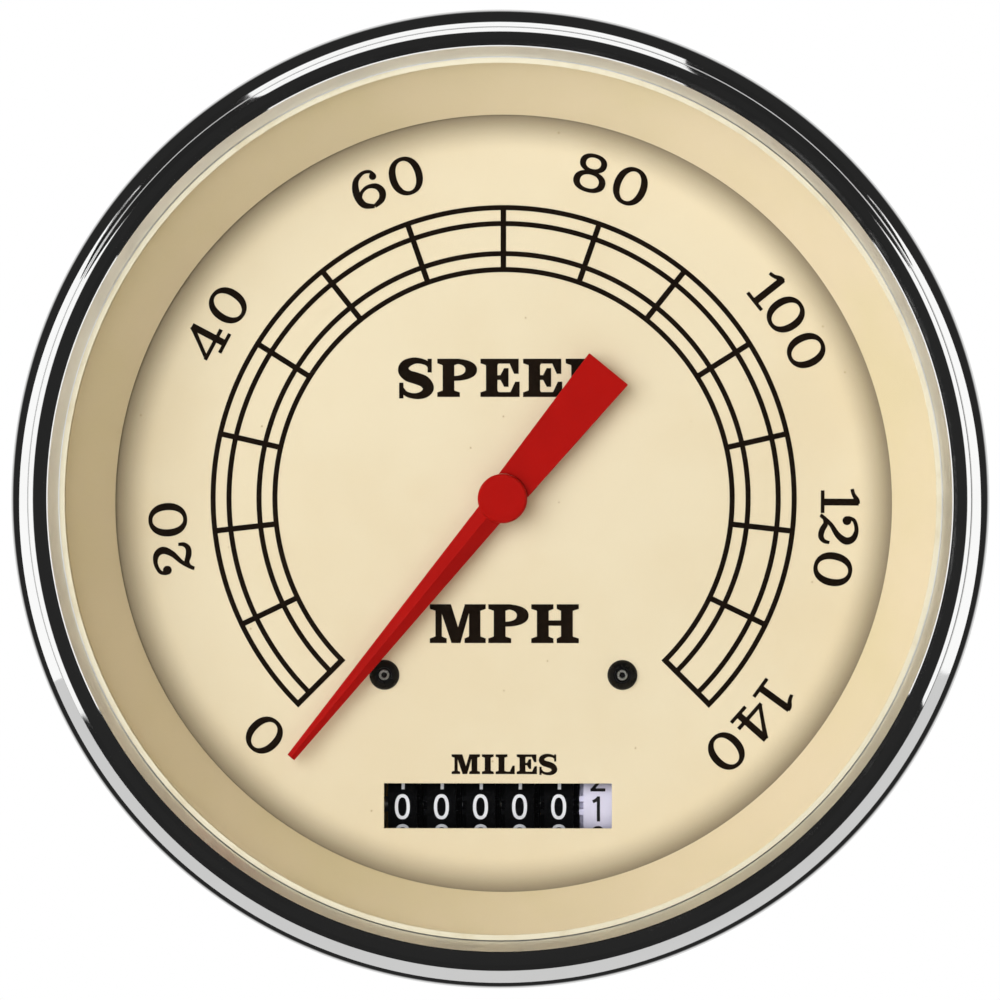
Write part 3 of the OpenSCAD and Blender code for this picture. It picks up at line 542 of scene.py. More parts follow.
def lathe(name: str, profile: Sequence[Point], segments: int, material: bpy.types.Material,
          centres: Sequence[Point] = ((0.0, 0.0),),
          lift: Callable[[float], float] = lambda depth: 0.0) -> bpy.types.Object:
    """Turns a closed profile round one or more axes that run along Y.

    Args:
        name: The piece's name.
        profile: Points as radius and depth along Y, closed from the last to the first.
        segments: How many steps make the full turn.
        material: The piece's finish.
        centres: Where the axes stand in X and Z.
        lift: How far up the ring's centre lies at a depth.

    Returns:
        The turned object.
    """
    points = []
    faces = []
    count = len(profile)
    for x, z in centres:
        start = len(points)
        for step in range(segments):
            turn = 2 * math.pi * step / segments
            points += [(x + r * math.sin(turn), y, z + r * math.cos(turn) + lift(y)) for r, y in profile]
            here = start + step * count
            there = start + (step + 1) % segments * count
            for i in range(count):
                j = (i + 1) % count
                faces.append((here + i, here + j, there + j, there + i))
    piece = new_piece(name, points, faces, material)
    shape = bmesh.new()
    shape.from_mesh(piece.data)
    bmesh.ops.remove_doubles(shape, verts=shape.verts, dist=JOIN)
    bmesh.ops.recalc_face_normals(shape, faces=shape.faces)
    shape.to_mesh(piece.data)
    shape.free()
    lay_smooth(piece.data, CREASE)
    return piece


def round_arc(x: float, y: float, radius: float, start: float, end: float, steps: int) -> Polygon:
    """Lists the points of an arc round (x, y) between two angles in degrees."""
    angles = [math.radians(start + (end - start) * i / steps) for i in range(steps + 1)]
    return [(x + radius * math.cos(a), y + radius * math.sin(a)) for a in angles]


@dataclass(frozen=True)
class Stroke:
    """A pen stroke of changing width through points of a letter."""

    knots: tuple[Knot, ...]
    steps: int = 8

    def polygons(self) -> list[Polygon]:
        """Cuts the stroke into short four-sided pieces.

        Returns:
            The pieces' corner points.
        """
        knots = (self.knots[0], *self.knots, self.knots[-1])
        line = [self.between(knots[i:i + 4], s / self.steps)
                for i in range(len(knots) - 3) for s in range(self.steps)]
        line.append(self.knots[-1])
        sides = []
        for i, (x, y, width) in enumerate(line):
            before = line[max(i - 1, 0)]
            after = line[min(i + 1, len(line) - 1)]
            dx = after[0] - before[0]
            dy = after[1] - before[1]
            half = width / 2 / math.hypot(dx, dy)
            sides.append(((x - dy * half, y + dx * half), (x + dy * half, y - dx * half)))
        return [[a[0], a[1], b[1], b[0]] for a, b in zip(sides, sides[1:])]

    @staticmethod
    def between(four: Sequence[Knot], share: float) -> Knot:
        """Finds a point on the smooth curve through four knots.

        Args:
            four: The knots before, at the start, at the end and after.
            share: How far along from the second knot to the third.

        Returns:
            The point with its width.
        """
        found = []
        for a, b, c, d in zip(*four):
            linear = c - a
            square = 2 * a - 5 * b + 4 * c - d
            cube = 3 * b - a - 3 * c + d
            found.append(b + (linear * share + square * share ** 2 + cube * share ** 3) / 2)
        return (found[0], found[1], found[2])


@dataclass(frozen=True)
class Ring:
    """An oval ring, or its right half, thicker at the sides than at the top."""

    x: float
    y: float
    rx: float
    ry: float
    side: float
    top: float
    power: float = 2.2
    half: bool = False
    steps: int = 56

    def rim(self, rx: float, ry: float, share: float) -> Point:
        """Finds a point on an oval.

        Args:
            rx: Half the oval's width.
            ry: Half the oval's height.
            share: How far round from the top, clockwise, where one is the whole stretch.

        Returns:
            The point.
        """
        turn = share * math.pi * (1 if self.half else 2)
        s = math.sin(turn)
        c = math.cos(turn)
        bend = 2 / self.power
        across = rx * math.copysign(abs(s) ** bend, s)
        up = ry * math.copysign(abs(c) ** bend, c)
        return (self.x + across, self.y + up)

    def polygons(self) -> list[Polygon]:
        """Cuts the ring into short four-sided pieces.

        Returns:
            The pieces' corner points.
        """
        steps = self.steps // 2 if self.half else self.steps
        outer = [self.rim(self.rx, self.ry, i / steps) for i in range(steps + 1)]
        inner = [self.rim(self.rx - self.side, self.ry - self.top, i / steps) for i in range(steps + 1)]
        return [[outer[i], outer[i + 1], inner[i + 1], inner[i]] for i in range(steps)]


@dataclass(frozen=True)
class Patch:
    """A plain straight-sided area of a letter."""

    points: tuple[Point, ...]

    def polygons(self) -> list[Polygon]:
        """Gives the area as one piece."""
        return [list(self.points)]


def bar(x0: float, y0: float, x1: float, y1: float) -> Patch:
    """Makes an upright rectangle from its left, lower, right and upper edges."""
    return Patch(((x0, y0), (x1, y0), (x1, y1), (x0, y1)))


def dot(x: float, y: float, radius: float, sides: int = 24) -> Patch:
    """Makes a round spot from its centre and radius."""
    return Patch(tuple(round_arc(x, y, radius, 0.0, 360.0 - 360.0 / sides, sides - 1)))


@dataclass(frozen=True)
class Glyph:
    """A letter or figure drawn at a height of one."""

    width: float
    shapes: tuple[Stroke | Ring | Patch, ...]

    def polygons(self) -> list[Polygon]:
        """Lists the corner points of every piece of the letter."""
        return [polygon for shape in self.shapes for polygon in shape.polygons()]


NUMERALS = {
    "0": Glyph(0.86, (Ring(0.43, 0.5, 0.43, 0.5, 0.185, 0.105, 2.15),)),
    "1": Glyph(0.62, (
        bar(0.27, 0.0, 0.445, 0.97),
        Stroke(((0.02, 0.80, 0.09), (0.16, 0.84, 0.10), (0.30, 0.93, 0.12), (0.40, 0.985, 0.05))),
        bar(0.06, 0.0, 0.64, 0.095))),
    "2": Glyph(0.78, (
        dot(0.135, 0.685, 0.115),
        Stroke(((0.055, 0.70, 0.09), (0.12, 0.87, 0.10), (0.36, 0.95, 0.11), (0.58, 0.88, 0.16),
                (0.655, 0.70, 0.19), (0.52, 0.48, 0.15), (0.27, 0.28, 0.11), (0.09, 0.05, 0.10),
                (0.06, -0.01, 0.09))),
        Stroke(((0.10, 0.09, 0.10), (0.25, 0.15, 0.13), (0.43, 0.075, 0.15), (0.60, 0.06, 0.14),
                (0.71, 0.15, 0.11), (0.735, 0.29, 0.08))))),
    "4": Glyph(0.88, (
        bar(0.52, 0.0, 0.695, 1.0),
        Stroke(((0.60, 0.98, 0.13), (0.32, 0.63, 0.10), (0.04, 0.28, 0.10))),
        bar(0.0, 0.245, 0.88, 0.345),
        bar(0.33, 0.0, 0.885, 0.095))),
    "6": Glyph(0.81, (
        dot(0.655, 0.775, 0.095),
        Stroke(((0.70, 0.80, 0.09), (0.62, 0.92, 0.09), (0.43, 0.95, 0.10), (0.20, 0.82, 0.15),
                (0.095, 0.52, 0.19), (0.15, 0.20, 0.17), (0.40, 0.05, 0.105))),
        Stroke(((0.40, 0.05, 0.105), (0.63, 0.14, 0.16), (0.72, 0.32, 0.18), (0.64, 0.50, 0.15),
                (0.44, 0.575, 0.10), (0.25, 0.52, 0.09), (0.15, 0.40, 0.08))))),
    "8": Glyph(0.84, (
        Ring(0.405, 0.755, 0.355, 0.245, 0.16, 0.10),
        Ring(0.42, 0.28, 0.42, 0.28, 0.175, 0.105))),
}

SERIF = 0.12
BRACKET = 0.05


def foot(left: float, inner: float, outer: float, right: float) -> Patch:
    """Makes a serif from left to right on the baseline, which swells into the stem from inner to outer."""
    top = SERIF + BRACKET
    return Patch(((left, 0.0), (right, 0.0), (right, SERIF), (outer, top), (inner, top), (left, SERIF)))


def head(left: float, inner: float, outer: float, right: float) -> Patch:
    """Makes the same serif at the top of a stem."""
    return Patch(tuple((x, 1.0 - y) for x, y in foot(left, inner, outer, right).points))


def post(left: float, inner: float, outer: float, right: float) -> tuple[Patch, ...]:
    """Makes a stem from inner to outer, with a serif from left to right at each end."""
    return (bar(inner, 0.0, outer, 1.0), foot(left, inner, outer, right), head(left, inner, outer, right))


CAPITALS = {
    "S": Glyph(0.94, (
        Stroke(((0.85, 0.74, 0.09), (0.74, 0.89, 0.13), (0.46, 0.952, 0.165), (0.21, 0.86, 0.24),
                (0.145, 0.70, 0.29), (0.26, 0.56, 0.30), (0.47, 0.49, 0.31), (0.69, 0.40, 0.31),
                (0.795, 0.23, 0.29), (0.69, 0.08, 0.22), (0.47, 0.023, 0.155), (0.22, 0.08, 0.13),
                (0.09, 0.25, 0.09))),
        bar(0.775, 0.64, 0.885, 1.0),
        bar(0.03, -0.04, 0.145, 0.375))),
    "P": Glyph(1.04, (
        *post(0.0, 0.14, 0.445, 0.59),
        Ring(0.42, 0.711, 0.62, 0.289, 0.305, 0.13, 2.3, True))),
    "E": Glyph(1.025, (
        *post(0.0, 0.145, 0.445, 0.48),
        bar(0.4, 0.0, 1.0, 0.128),
        bar(0.4, 0.872, 1.0, 1.0),
        bar(0.42, 0.445, 0.64, 0.57),
        Patch(((0.76, 0.88), (0.88, 0.605), (1.0, 0.605), (1.0, 1.0), (0.76, 1.0))),
        Patch(((0.78, 0.0), (1.025, 0.0), (1.025, 0.40), (0.91, 0.40), (0.78, 0.12))),
        Patch(((0.49, 0.51), (0.62, 0.265), (0.735, 0.265), (0.735, 0.755), (0.62, 0.755))))),
    "D": Glyph(1.105, (
        *post(0.0, 0.145, 0.445, 0.48),
        Ring(0.43, 0.5, 0.675, 0.5, 0.315, 0.13, 2.3, True))),
    "M": Glyph(1.44, (
        *post(0.0, 0.145, 0.31, 0.435),
        *post(0.895, 1.01, 1.305, 1.44),
        Patch(((0.225, 1.0), (0.545, 1.0), (0.727, 0.41), (0.79, 0.0), (0.56, 0.0))),
        Patch(((0.727, 0.41), (0.79, 0.0), (1.075, 1.0), (0.905, 1.0))))),
    "H": Glyph(1.225, (
        *post(0.0, 0.145, 0.45, 0.572),
        *post(0.655, 0.765, 1.07, 1.225),
        bar(0.43, 0.446, 0.79, 0.585))),
    "I": Glyph(0.6, post(0.0, 0.145, 0.45, 0.6)),
    "L": Glyph(0.97, (
        *post(0.0, 0.145, 0.45, 0.6),
        bar(0.4, 0.0, 0.95, 0.13),
        Patch(((0.72, 0.0), (0.97, 0.0), (0.97, 0.43), (0.855, 0.43), (0.72, 0.12))))),
}

PEN = 0.13
PEN_STEPS = 6
SIX = ((0.52, 0.85), (0.36, 0.925), (0.18, 0.84), (0.085, 0.60), (0.074, 0.34), (0.14, 0.14),
       (0.305, 0.074), (0.47, 0.14), (0.536, 0.32), (0.46, 0.50), (0.305, 0.56), (0.16, 0.49), (0.09, 0.36))


def penned(*points: Point) -> Stroke:
    """Draws a stroke of the drum figures' even width through the points."""
    return Stroke(tuple((x, y, PEN) for x, y in points), PEN_STEPS)


DRUM_WIDTH = 0.61
DRUM_FIGURES = (
    (Ring(0.305, 0.5, 0.305, 0.5, PEN, PEN, 2.3),),
    (penned((0.33, 0.0), (0.33, 0.35), (0.33, 0.7), (0.33, 1.0)),
     penned((0.30, 0.92), (0.21, 0.84), (0.10, 0.79))),
    (penned((0.05, 0.72), (0.13, 0.88), (0.305, 0.93), (0.48, 0.87), (0.53, 0.70), (0.36, 0.42),
            (0.06, 0.06)),
     penned((0.0, 0.065), (0.3, 0.065), (0.61, 0.065))),
    (penned((0.06, 0.80), (0.16, 0.90), (0.305, 0.93), (0.48, 0.85), (0.48, 0.65), (0.27, 0.53)),
     penned((0.27, 0.53), (0.48, 0.46), (0.54, 0.27), (0.44, 0.11), (0.28, 0.07), (0.12, 0.11),
            (0.04, 0.22))),
    (penned((0.45, 0.0), (0.45, 0.35), (0.45, 0.7), (0.45, 1.0)),
     penned((0.45, 0.94), (0.24, 0.61), (0.04, 0.28)),
     penned((0.0, 0.27), (0.3, 0.27), (0.61, 0.27))),
    (penned((0.10, 0.935), (0.3, 0.935), (0.56, 0.935)),
     penned((0.14, 0.97), (0.12, 0.72), (0.09, 0.50)),
     penned((0.10, 0.52), (0.28, 0.60), (0.48, 0.51), (0.54, 0.31), (0.43, 0.11), (0.26, 0.07),
            (0.04, 0.17))),
    (penned(*SIX),),
    (penned((0.0, 0.935), (0.3, 0.935), (0.58, 0.935)),
     penned((0.52, 0.92), (0.36, 0.50), (0.24, 0.0))),
    (Ring(0.305, 0.75, 0.265, 0.25, PEN, PEN), Ring(0.305, 0.29, 0.305, 0.29, PEN, PEN)),
    (penned(*((DRUM_WIDTH - x, 1 - y) for x, y in SIX)),),
)


@dataclass(frozen=True)
class Label:
    """A word on the dial: its sizes in millimetres, and the gap between its letters in letter heights."""

    text: str
    height: float
    middle: float
    baseline: float
    gap: float


LABELS = (
    Label("SPEED", 4.96, -0.06, 13.16, 0.09),
    Label("MPH", 5.04, 0.12, -18.77, 0.067),
    Label("MILES", 2.56, 0.14, -35.77, 0.097),
)


@dataclass
class InkFilm:
    """A thin film of ink, gathered as flat shapes in millimetres and then laid on a surface."""

    polygons: list[Polygon] = field(default_factory=list)
    join_within: float = 1e-4

    def add(self, shapes: list[Polygon], move: Callable[[float, float], Point]) -> None:
        """Adds shapes to the film, with each corner point carried to its place by the move."""
        self.polygons += [[move(x, y) for x, y in polygon] for polygon in shapes]

    def triangles(self) -> list[Polygon]:
        """Cuts every shape into triangles with their corners in anticlockwise order.

        Returns:
            The triangles that have an area.
        """
        found = []
        for polygon in self.polygons:
            for b, c in zip(polygon[1:], polygon[2:]):
                a = polygon[0]
                area = (b[0] - a[0]) * (c[1] - a[1]) - (c[0] - a[0]) * (b[1] - a[1])
                if abs(area) > self.join_within ** 2:
                    found.append([a, b, c] if area > 0 else [a, c, b])
        return found

    def lay(self, name: str, place: Placer, thickness: float,
            material: bpy.types.Material) -> bpy.types.Object:
        """Joins the shapes into one closed film.

        Args:
            name: The piece's name.
            place: Carries a flat point and a height to its place in the frame.
            thickness: How far the ink stands proud.
            material: The ink.

        Returns:
            The film.
        """
        corners = []
        loops = []
        for triangle in self.triangles():
            loops.append([len(corners), len(corners) + 1, len(corners) + 2])
            corners += [Vector(point) for point in triangle]
        cut = delaunay_2d_cdt(corners, [], loops, FILLED_ONLY, self.join_within)
        flat, _, triangles, _, _, sources = cut
        kept = [tuple(triangle) for triangle, source in zip(triangles, sources) if source]
        used = sorted({i for triangle in kept for i in triangle})
        order = {old: new for new, old in enumerate(used)}
        kept = [tuple(order[i] for i in triangle) for triangle in kept]
        count = len(used)
        points = [place(flat[i].x, flat[i].y, thickness) for i in used]
        points += [place(flat[i].x, flat[i].y, -thickness / 2) for i in used]
        sides = {(t[i], t[(i + 1) % 3]) for t in kept for i in range(3)}
        faces = list(kept)
        faces += [(c + count, b + count, a + count) for a, b, c in kept]
        faces += [(b, a, a + count, b + count) for a, b in sorted(sides) if (b, a) not in sides]
        return new_piece(name, points, faces, material)


def dress(node: str, material: bpy.types.Material) -> bpy.types.Object:
    """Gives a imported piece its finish.

    Args:
        node: The piece's name in the frame.
        material: The finish.

    Returns:
        The piece's object.
    """
    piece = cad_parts[node]
    piece.data.materials.clear()
    piece.data.materials.append(material)
    log.info("dressed %s in %s", node, material.name)
    return piece


def soften(piece: bpy.types.Object, width: float) -> None:
    """Rounds a piece's sharp edges a little, so that they catch the light.

    Args:
        piece: The piece.
        width: The width of the rounding.
    """
    weld = piece.modifiers.new("weld", "WELD")
    weld.merge_threshold = WELD_WITHIN
    bevel = piece.modifiers.new("soft_edge", "BEVEL")
    bevel.width = width
    bevel.segments = SOFT_STEPS
    bevel.limit_method = "ANGLE"
    bevel.angle_limit = math.radians(SOFT_FROM)
    bevel.harden_normals = True


def add_piece(piece: bpy.types.Object, body: str, slot: str, *replaced: str) -> None:
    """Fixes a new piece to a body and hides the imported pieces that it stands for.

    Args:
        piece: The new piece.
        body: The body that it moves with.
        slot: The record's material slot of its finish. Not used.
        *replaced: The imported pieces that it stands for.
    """
    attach(piece, body)
    if replaced:
        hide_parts(*replaced)
    log.info("made %s on %s", piece.name, body)


@dataclass
class FrontRing:
    """The chrome bezel with its gasket and glass."""

    roll_r: float = 2.25
    slope_w: float = 2.36
    slope_steps: int = 40
    slope_rise: float = 0.5602
    slope_ease: float = 0.1368
    ledge_w: float = 0.14
    ledge_drop: float = 0.03
    wall_w: float = 1.25
    wall_gap: float = 0.05
    sheet: float = 0.8
    corner_r: float = 0.6
    crimp_w: float = 3.8
    segments: int = 288
    corner_steps: int = 6
    roll_steps: int = 36

    def build(self) -> None:
        """Builds the bezel and dresses the gasket and the glass."""
        profile = [(r * MM, y * MM) for r, y in self.profile()]
        ring = lathe("bezel_ring", profile, self.segments, CHROME.material())
        ring.data.materials.append(SATIN_CHROME.material())
        wall = self.wall_r() * MM
        for face in ring.data.polygons:
            face.material_index = int(math.hypot(face.center.x, face.center.z) < wall)
        add_piece(ring, "root", "chrome", "bezel")
        dress("lens_gasket", GASKET.material())
        dress("glass_lens", FLAT_GLASS.material())

    def wall_r(self) -> float:
        """Finds where the inner wall begins, as a radius in millimetres."""
        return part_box("bezel")[1][0] / MM - self.roll_r - self.slope_w - self.ledge_w

    def profile(self) -> Polygon:
        """Draws the bezel's section from its rear crimp, over the rolled rim, to its inner wall.

        Returns:
            Points as radius and depth in millimetres.
        """
        low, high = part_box("bezel")
        outer = high[0] / MM
        crest = low[1] / MM
        back = high[1] / MM
        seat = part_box("lens_gasket")[0][1] / MM
        top = outer - self.roll_r
        points = [(outer - self.crimp_w, back)]
        points += round_arc(outer - self.corner_r, back - self.corner_r, self.corner_r, 90.0, 0.0,
                            self.corner_steps)
        points += round_arc(top, crest + self.roll_r, self.roll_r, 0.0, -90.0, self.roll_steps)
        step = self.slope_w / self.slope_steps
        depth = crest
        for i in range(1, self.slope_steps + 1):
            middle = (i - 0.5) * step
            depth += step * math.tan(math.asin(self.slope_rise * middle - self.slope_ease * middle ** 2))
            points.append((top - i * step, depth))
        inner = self.wall_r()
        points.append((inner, depth + self.ledge_drop))
        lip = inner - self.wall_w
        base = seat - self.wall_gap
        points += [(lip, base - self.ledge_drop), (lip - self.ledge_w, base)]
        points += [(outer - self.sheet, base), (outer - self.sheet, back - self.sheet)]
        points.append((outer - self.crimp_w, back - self.sheet))
        return points


@dataclass
class DialFace:
    """The visor ring, the dial, its screws and its printing."""

    ink: float = 0.03 * MM
    scale_turn: float = 135.0
    scale_lines: int = 15
    arc_radii: tuple[float, ...] = (37.72, 35.65, 31.75, 29.68)
    arc_line: float = 0.66
    spoke_line: float = 0.72
    arc_steps: int = 270
    figure_r: float = 43.7
    figure_h: float = 5.06
    figure_gap: float = 0.2
    one_kern: float = -0.14
    figure_step: int = 20
    figure_turns: tuple[float, ...] = (-134.7, -96.9, -58.6, -20.2, 18.7, 58.2, 96.6, 132.7)
    visor_r: float = 50.4 * MM
    visor_wall: float = 1.0 * MM
    visor_slant: float = 5.8 * MM
    visor_flange: float = 1.2 * MM
    visor_drop: float = 0.65 * MM
    visor_edge: float = 0.12 * MM
    visor_segments: int = 256
    screw_segments: int = 64
    shank_r: float = 1.2 * MM
    ring_r: Point = (0.36 * MM, 0.69 * MM)
    # How far inside and beyond the visor's inner edge the dial's painted shadow runs.
    painted_shadow_in: float = 4.8 * MM
    painted_shadow_past: float = 0.9 * MM

    def build(self) -> None:
        """Dresses the dial's pieces and prints it."""
        self.build_visor()
        # The dial's enamel carries a painted shadow of the visor towards its rim.
        enamel = DialEnamel("dial_enamel", DIAL_CREAM, DIAL_AGED, DIAL_PAINTED_SHADOW, DIAL_FOXING,
                            self.visor_r - self.painted_shadow_in, self.visor_r + self.painted_shadow_past, self.visor_drop)
        dress("dial", enamel.material())
        self.build_screws()
        ink = DIAL_INK.material()
        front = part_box("dial")[0][1]
        for name, film in (("dial_scale", self.scale()), ("dial_figures", self.figures()),
                           ("dial_words", self.words())):
            print_film = film.lay(name, lambda x, y, h: Vector((x * MM, front - h, y * MM)), self.ink, ink)
            add_piece(print_film, "root", "dial_enamel")

    def build_visor(self) -> None:
        """Spins the visor ring, whose inner edge sits a little low."""
        low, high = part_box("visor_ring")
        outer = high[0]
        top = self.visor_r + self.visor_slant
        front = low[1]
        back = high[1]
        depth = back - front
        under = front + self.visor_flange
        behind = top + self.visor_wall - self.visor_flange * self.visor_slant / depth
        profile = [(top, front), (outer, front), (outer, under), (behind, under)]
        profile += [(self.visor_r + self.visor_wall, back), (self.visor_r + self.visor_edge, back)]
        profile.append((self.visor_r, back - self.visor_edge))
        visor = lathe("visor_shade", profile, self.visor_segments, VISOR_PAINT.material(),
                      lift=lambda y: -self.visor_drop * max(0.0, (y - front) / depth))
        add_piece(visor, "root", "visor_paint", "visor_ring")

    def build_screws(self) -> None:
        """Turns the two dial screws, each with a raised steel ring round its socket."""
        low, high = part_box("dial_screws")
        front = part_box("dial")[0][1]
        radius = (high[2] - low[2]) / 2
        middle = (low[2] + high[2]) / 2
        profile = [(r * MM, front + y * MM) for r, y in self.screw_section()]
        profile += [(radius, front), (self.shank_r, front), (self.shank_r, high[1]), (0.0, high[1])]
        screws = lathe("dial_screw_heads", profile, self.screw_segments, BLACK_OXIDE.material(),
                       [(high[0] - radius, middle), (low[0] + radius, middle)])
        screws.data.materials.append(DARK_STEEL.material())
        for face in screws.data.polygons:
            reach = math.hypot(abs(face.center.x) - high[0] + radius, face.center.z - middle)
            face.material_index = int(self.ring_r[0] < reach < self.ring_r[1] and face.center.y < front)
        add_piece(screws, "root", "black_oxide", "dial_screws")

    @staticmethod
    def screw_section() -> Polygon:
        """Draws a screw head's section from its socket, over its two rings, to its edge.

        Returns:
            Points as radius and depth from the dial's face, in millimetres.
        """
        section = [(0.0, -0.3), (0.34, -0.3), (0.36, -0.9)]
        section += round_arc(0.52, -0.98, 0.15, 180.0, 360.0, 8)
        section += [(0.72, -0.72), (0.95, -0.72)]
        section += round_arc(1.08, -0.84, 0.1, 180.0, 330.0, 6)
        section += [(1.4, -0.72), (1.62, -0.54), (1.8, -0.32), (1.9, -0.1)]
        return section

    def scale(self) -> InkFilm:
        """Draws the four arcs and the radial lines.

        Returns:
            The scale's film.
        """
        film = InkFilm()
        half = self.arc_line / 2
        start = 90 + self.scale_turn
        end = 90 - self.scale_turn
        for radius in self.arc_radii:
            inner = round_arc(0.0, 0.0, radius - half, start, end, self.arc_steps)
            outer = round_arc(0.0, 0.0, radius + half, start, end, self.arc_steps)
            film.polygons += [[outer[i], outer[i + 1], inner[i + 1], inner[i]]
                              for i in range(self.arc_steps)]
        spoke = bar(-self.spoke_line / 2, self.arc_radii[-1] - half, self.spoke_line / 2,
                    self.arc_radii[0] + half)
        for line in range(self.scale_lines):
            turn = math.radians(self.scale_turn * (2 * line / (self.scale_lines - 1) - 1))
            film.add(spoke.polygons(), self.turned_by(turn))
        return film

    @staticmethod
    def turned_by(turn: float) -> Callable[[float, float], Point]:
        """Makes a move that turns points clockwise about the axis.

        Args:
            turn: The angle in radians.

        Returns:
            The move.
        """
        s = math.sin(turn)
        c = math.cos(turn)
        return lambda x, y: (x * c + y * s, y * c - x * s)

    def figures(self) -> InkFilm:
        """Sets the speeds round the scale, each figure turned to its own place.

        Returns:
            The figures' film.
        """
        film = InkFilm()
        for i, degrees in enumerate(self.figure_turns):
            text = str(i * self.figure_step)
            places = [0.0]
            for left, right in zip(text, text[1:]):
                gap = self.figure_gap + (self.one_kern if left == "1" else 0.0)
                places.append(places[-1] + (NUMERALS[left].width + NUMERALS[right].width) / 2 + gap)
            first = -NUMERALS[text[0]].width / 2
            last = places[-1] + NUMERALS[text[-1]].width / 2
            for figure, place in zip(text, places):
                along = (place - (first + last) / 2) * self.figure_h / self.figure_r
                move = self.turned_by(math.radians(degrees) + along)
                glyph = NUMERALS[figure]
                shapes = [[((x - glyph.width / 2) * self.figure_h,
                            self.figure_r + (y - 0.5) * self.figure_h) for x, y in polygon]
                          for polygon in glyph.polygons()]
                film.add(shapes, move)
        return film

    @staticmethod
    def words() -> InkFilm:
        """Sets the plain labels above and below the hub, and over the odometer.

        Returns:
            The words' film.
        """
        film = InkFilm()
        for label in LABELS:
            glyphs = [CAPITALS[letter] for letter in label.text]
            width = sum(glyph.width for glyph in glyphs) + label.gap * (len(glyphs) - 1)
            left = -width / 2
            for glyph in glyphs:
                film.add(glyph.polygons(), lambda x, y: ((left + x) * label.height + label.middle,
                                                         label.baseline + y * label.height))
                left += glyph.width + label.gap
        return film


@dataclass
class Pointer:
    """The red needle, its tail and its hub."""

    edge: float = 0.1 * MM

    def build(self) -> None:
        """Dresses the pointer."""
        red = POINTER_RED.material()
        for node in ("pointer_needle", "pointer_tail", "pointer_boss"):
            soften(dress(node, red), self.edge)


@dataclass
class Odometer:
    """The six number wheels with their printed figures."""

    wheels: tuple[str, ...] = ("tenths_wheel", "units_wheel", "tens_wheel", "hundreds_wheel",
                               "thousands_wheel", "ten_thousands_wheel")
    tenths_x: float = 12.205 * MM
    pitch: float = 5.08 * MM
    figure_h: float = 3.3 * MM
    figure_w: float = 1.94 * MM
    ink: float = 0.02 * MM
    zero_turn: float = -1.6
    tenths_turn: float = -40.1
    figure_turn: float = 36.0

    def build(self) -> None:
        """Dresses each wheel and prints its figures."""
        black = WHEEL_BLACK.material()
        pale = WHEEL_PALE.material()
        white_ink = WHITE_INK.material()
        black_ink = BLACK_INK.material()
        for i, body in enumerate(self.wheels):
            tenths = i == 0
            node = f"number_wheel_{i + 1}"
            dress(node, pale if tenths else black)
            first_turn = self.tenths_turn if tenths else self.zero_turn
            figures = self.film(self.tenths_x - i * self.pitch, first_turn)
            piece = figures.lay(f"wheel_figures_{i + 1}", self.on_drum(node), self.ink,
                                black_ink if tenths else white_ink)
            add_piece(piece, body, "wheel_pale" if tenths else "wheel_black")

    def film(self, middle: float, first_turn: float) -> InkFilm:
        """Draws the ten figures of a wheel, unrolled.

        Args:
            middle: The drum's middle along the axle.
            first_turn: The turn of the nought in degrees, upwards from the front.

        Returns:
            The unrolled figures.
        """
        film = InkFilm()
        low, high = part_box("number_wheel_2")
        radius = (high[2] - low[2]) / 2
        for figure, shapes in enumerate(DRUM_FIGURES):
            turn = math.radians(first_turn + self.figure_turn * figure)
            glyph = Glyph(DRUM_WIDTH, shapes)
            film.add(glyph.polygons(), lambda x, y: (
                (middle + (x / DRUM_WIDTH - 0.5) * self.figure_w) / MM,
                (turn * radius + (y - 0.5) * self.figure_h) / MM))
        return film

    @staticmethod
    def on_drum(node: str) -> Placer:
        """Makes a move that wraps a flat film round a wheel.

        Args:
            node: The wheel's name in the frame.

        Returns:
            The move.
        """
        low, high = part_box(node)
        radius = (high[2] - low[2]) / 2
        y = (low[1] + high[1]) / 2
        z = (low[2] + high[2]) / 2

        def wrap(along: float, around: float, height: float) -> Vector:
            """Wraps one point round the wheel."""
            turn = around * MM / radius
            reach = radius + height
            return Vector((along * MM, y - reach * math.cos(turn), z + reach * math.sin(turn)))

        return wrap


@dataclass
class Movement:
    """The works inside the case, in their bare metals."""

    steel: tuple[str, ...] = ("pointer_spindle", "hairspring", "stop_pins", "frame_pillars",
                              "pillar_screws", "drive_shaft", "field_cup", "thrust_collar",
                              "counter_shaft", "counter_bracket", "counter_screws", "idler_stub",
                              "odometer_axle", "odometer_screws", "pinion_axle")
    brass: tuple[str, ...] = ("stop_arm", "hairspring_collet", "hairspring_stud", "bridge_plate",
                              "dial_posts", "drive_worm", "worm_wheel", "counter_worm", "idler_gear",
                              "odometer_gear", "odometer_frame", "transfer_pinion_1", "transfer_pinion_2",
                              "transfer_pinion_3", "transfer_pinion_4", "transfer_pinion_5")
    bronze: tuple[str, ...] = ("spindle_bush", "drive_bush")

    def build(self) -> None:
        """Dresses the works."""
        for nodes, metal in ((self.steel, STEEL), (self.brass, BRASS), (self.bronze, BRONZE)):
            material = metal.material()
            for node in nodes:
                dress(node, material)
        dress("speed_cup", ALUMINIUM.material())
        dress("magnet", MAGNET.material())


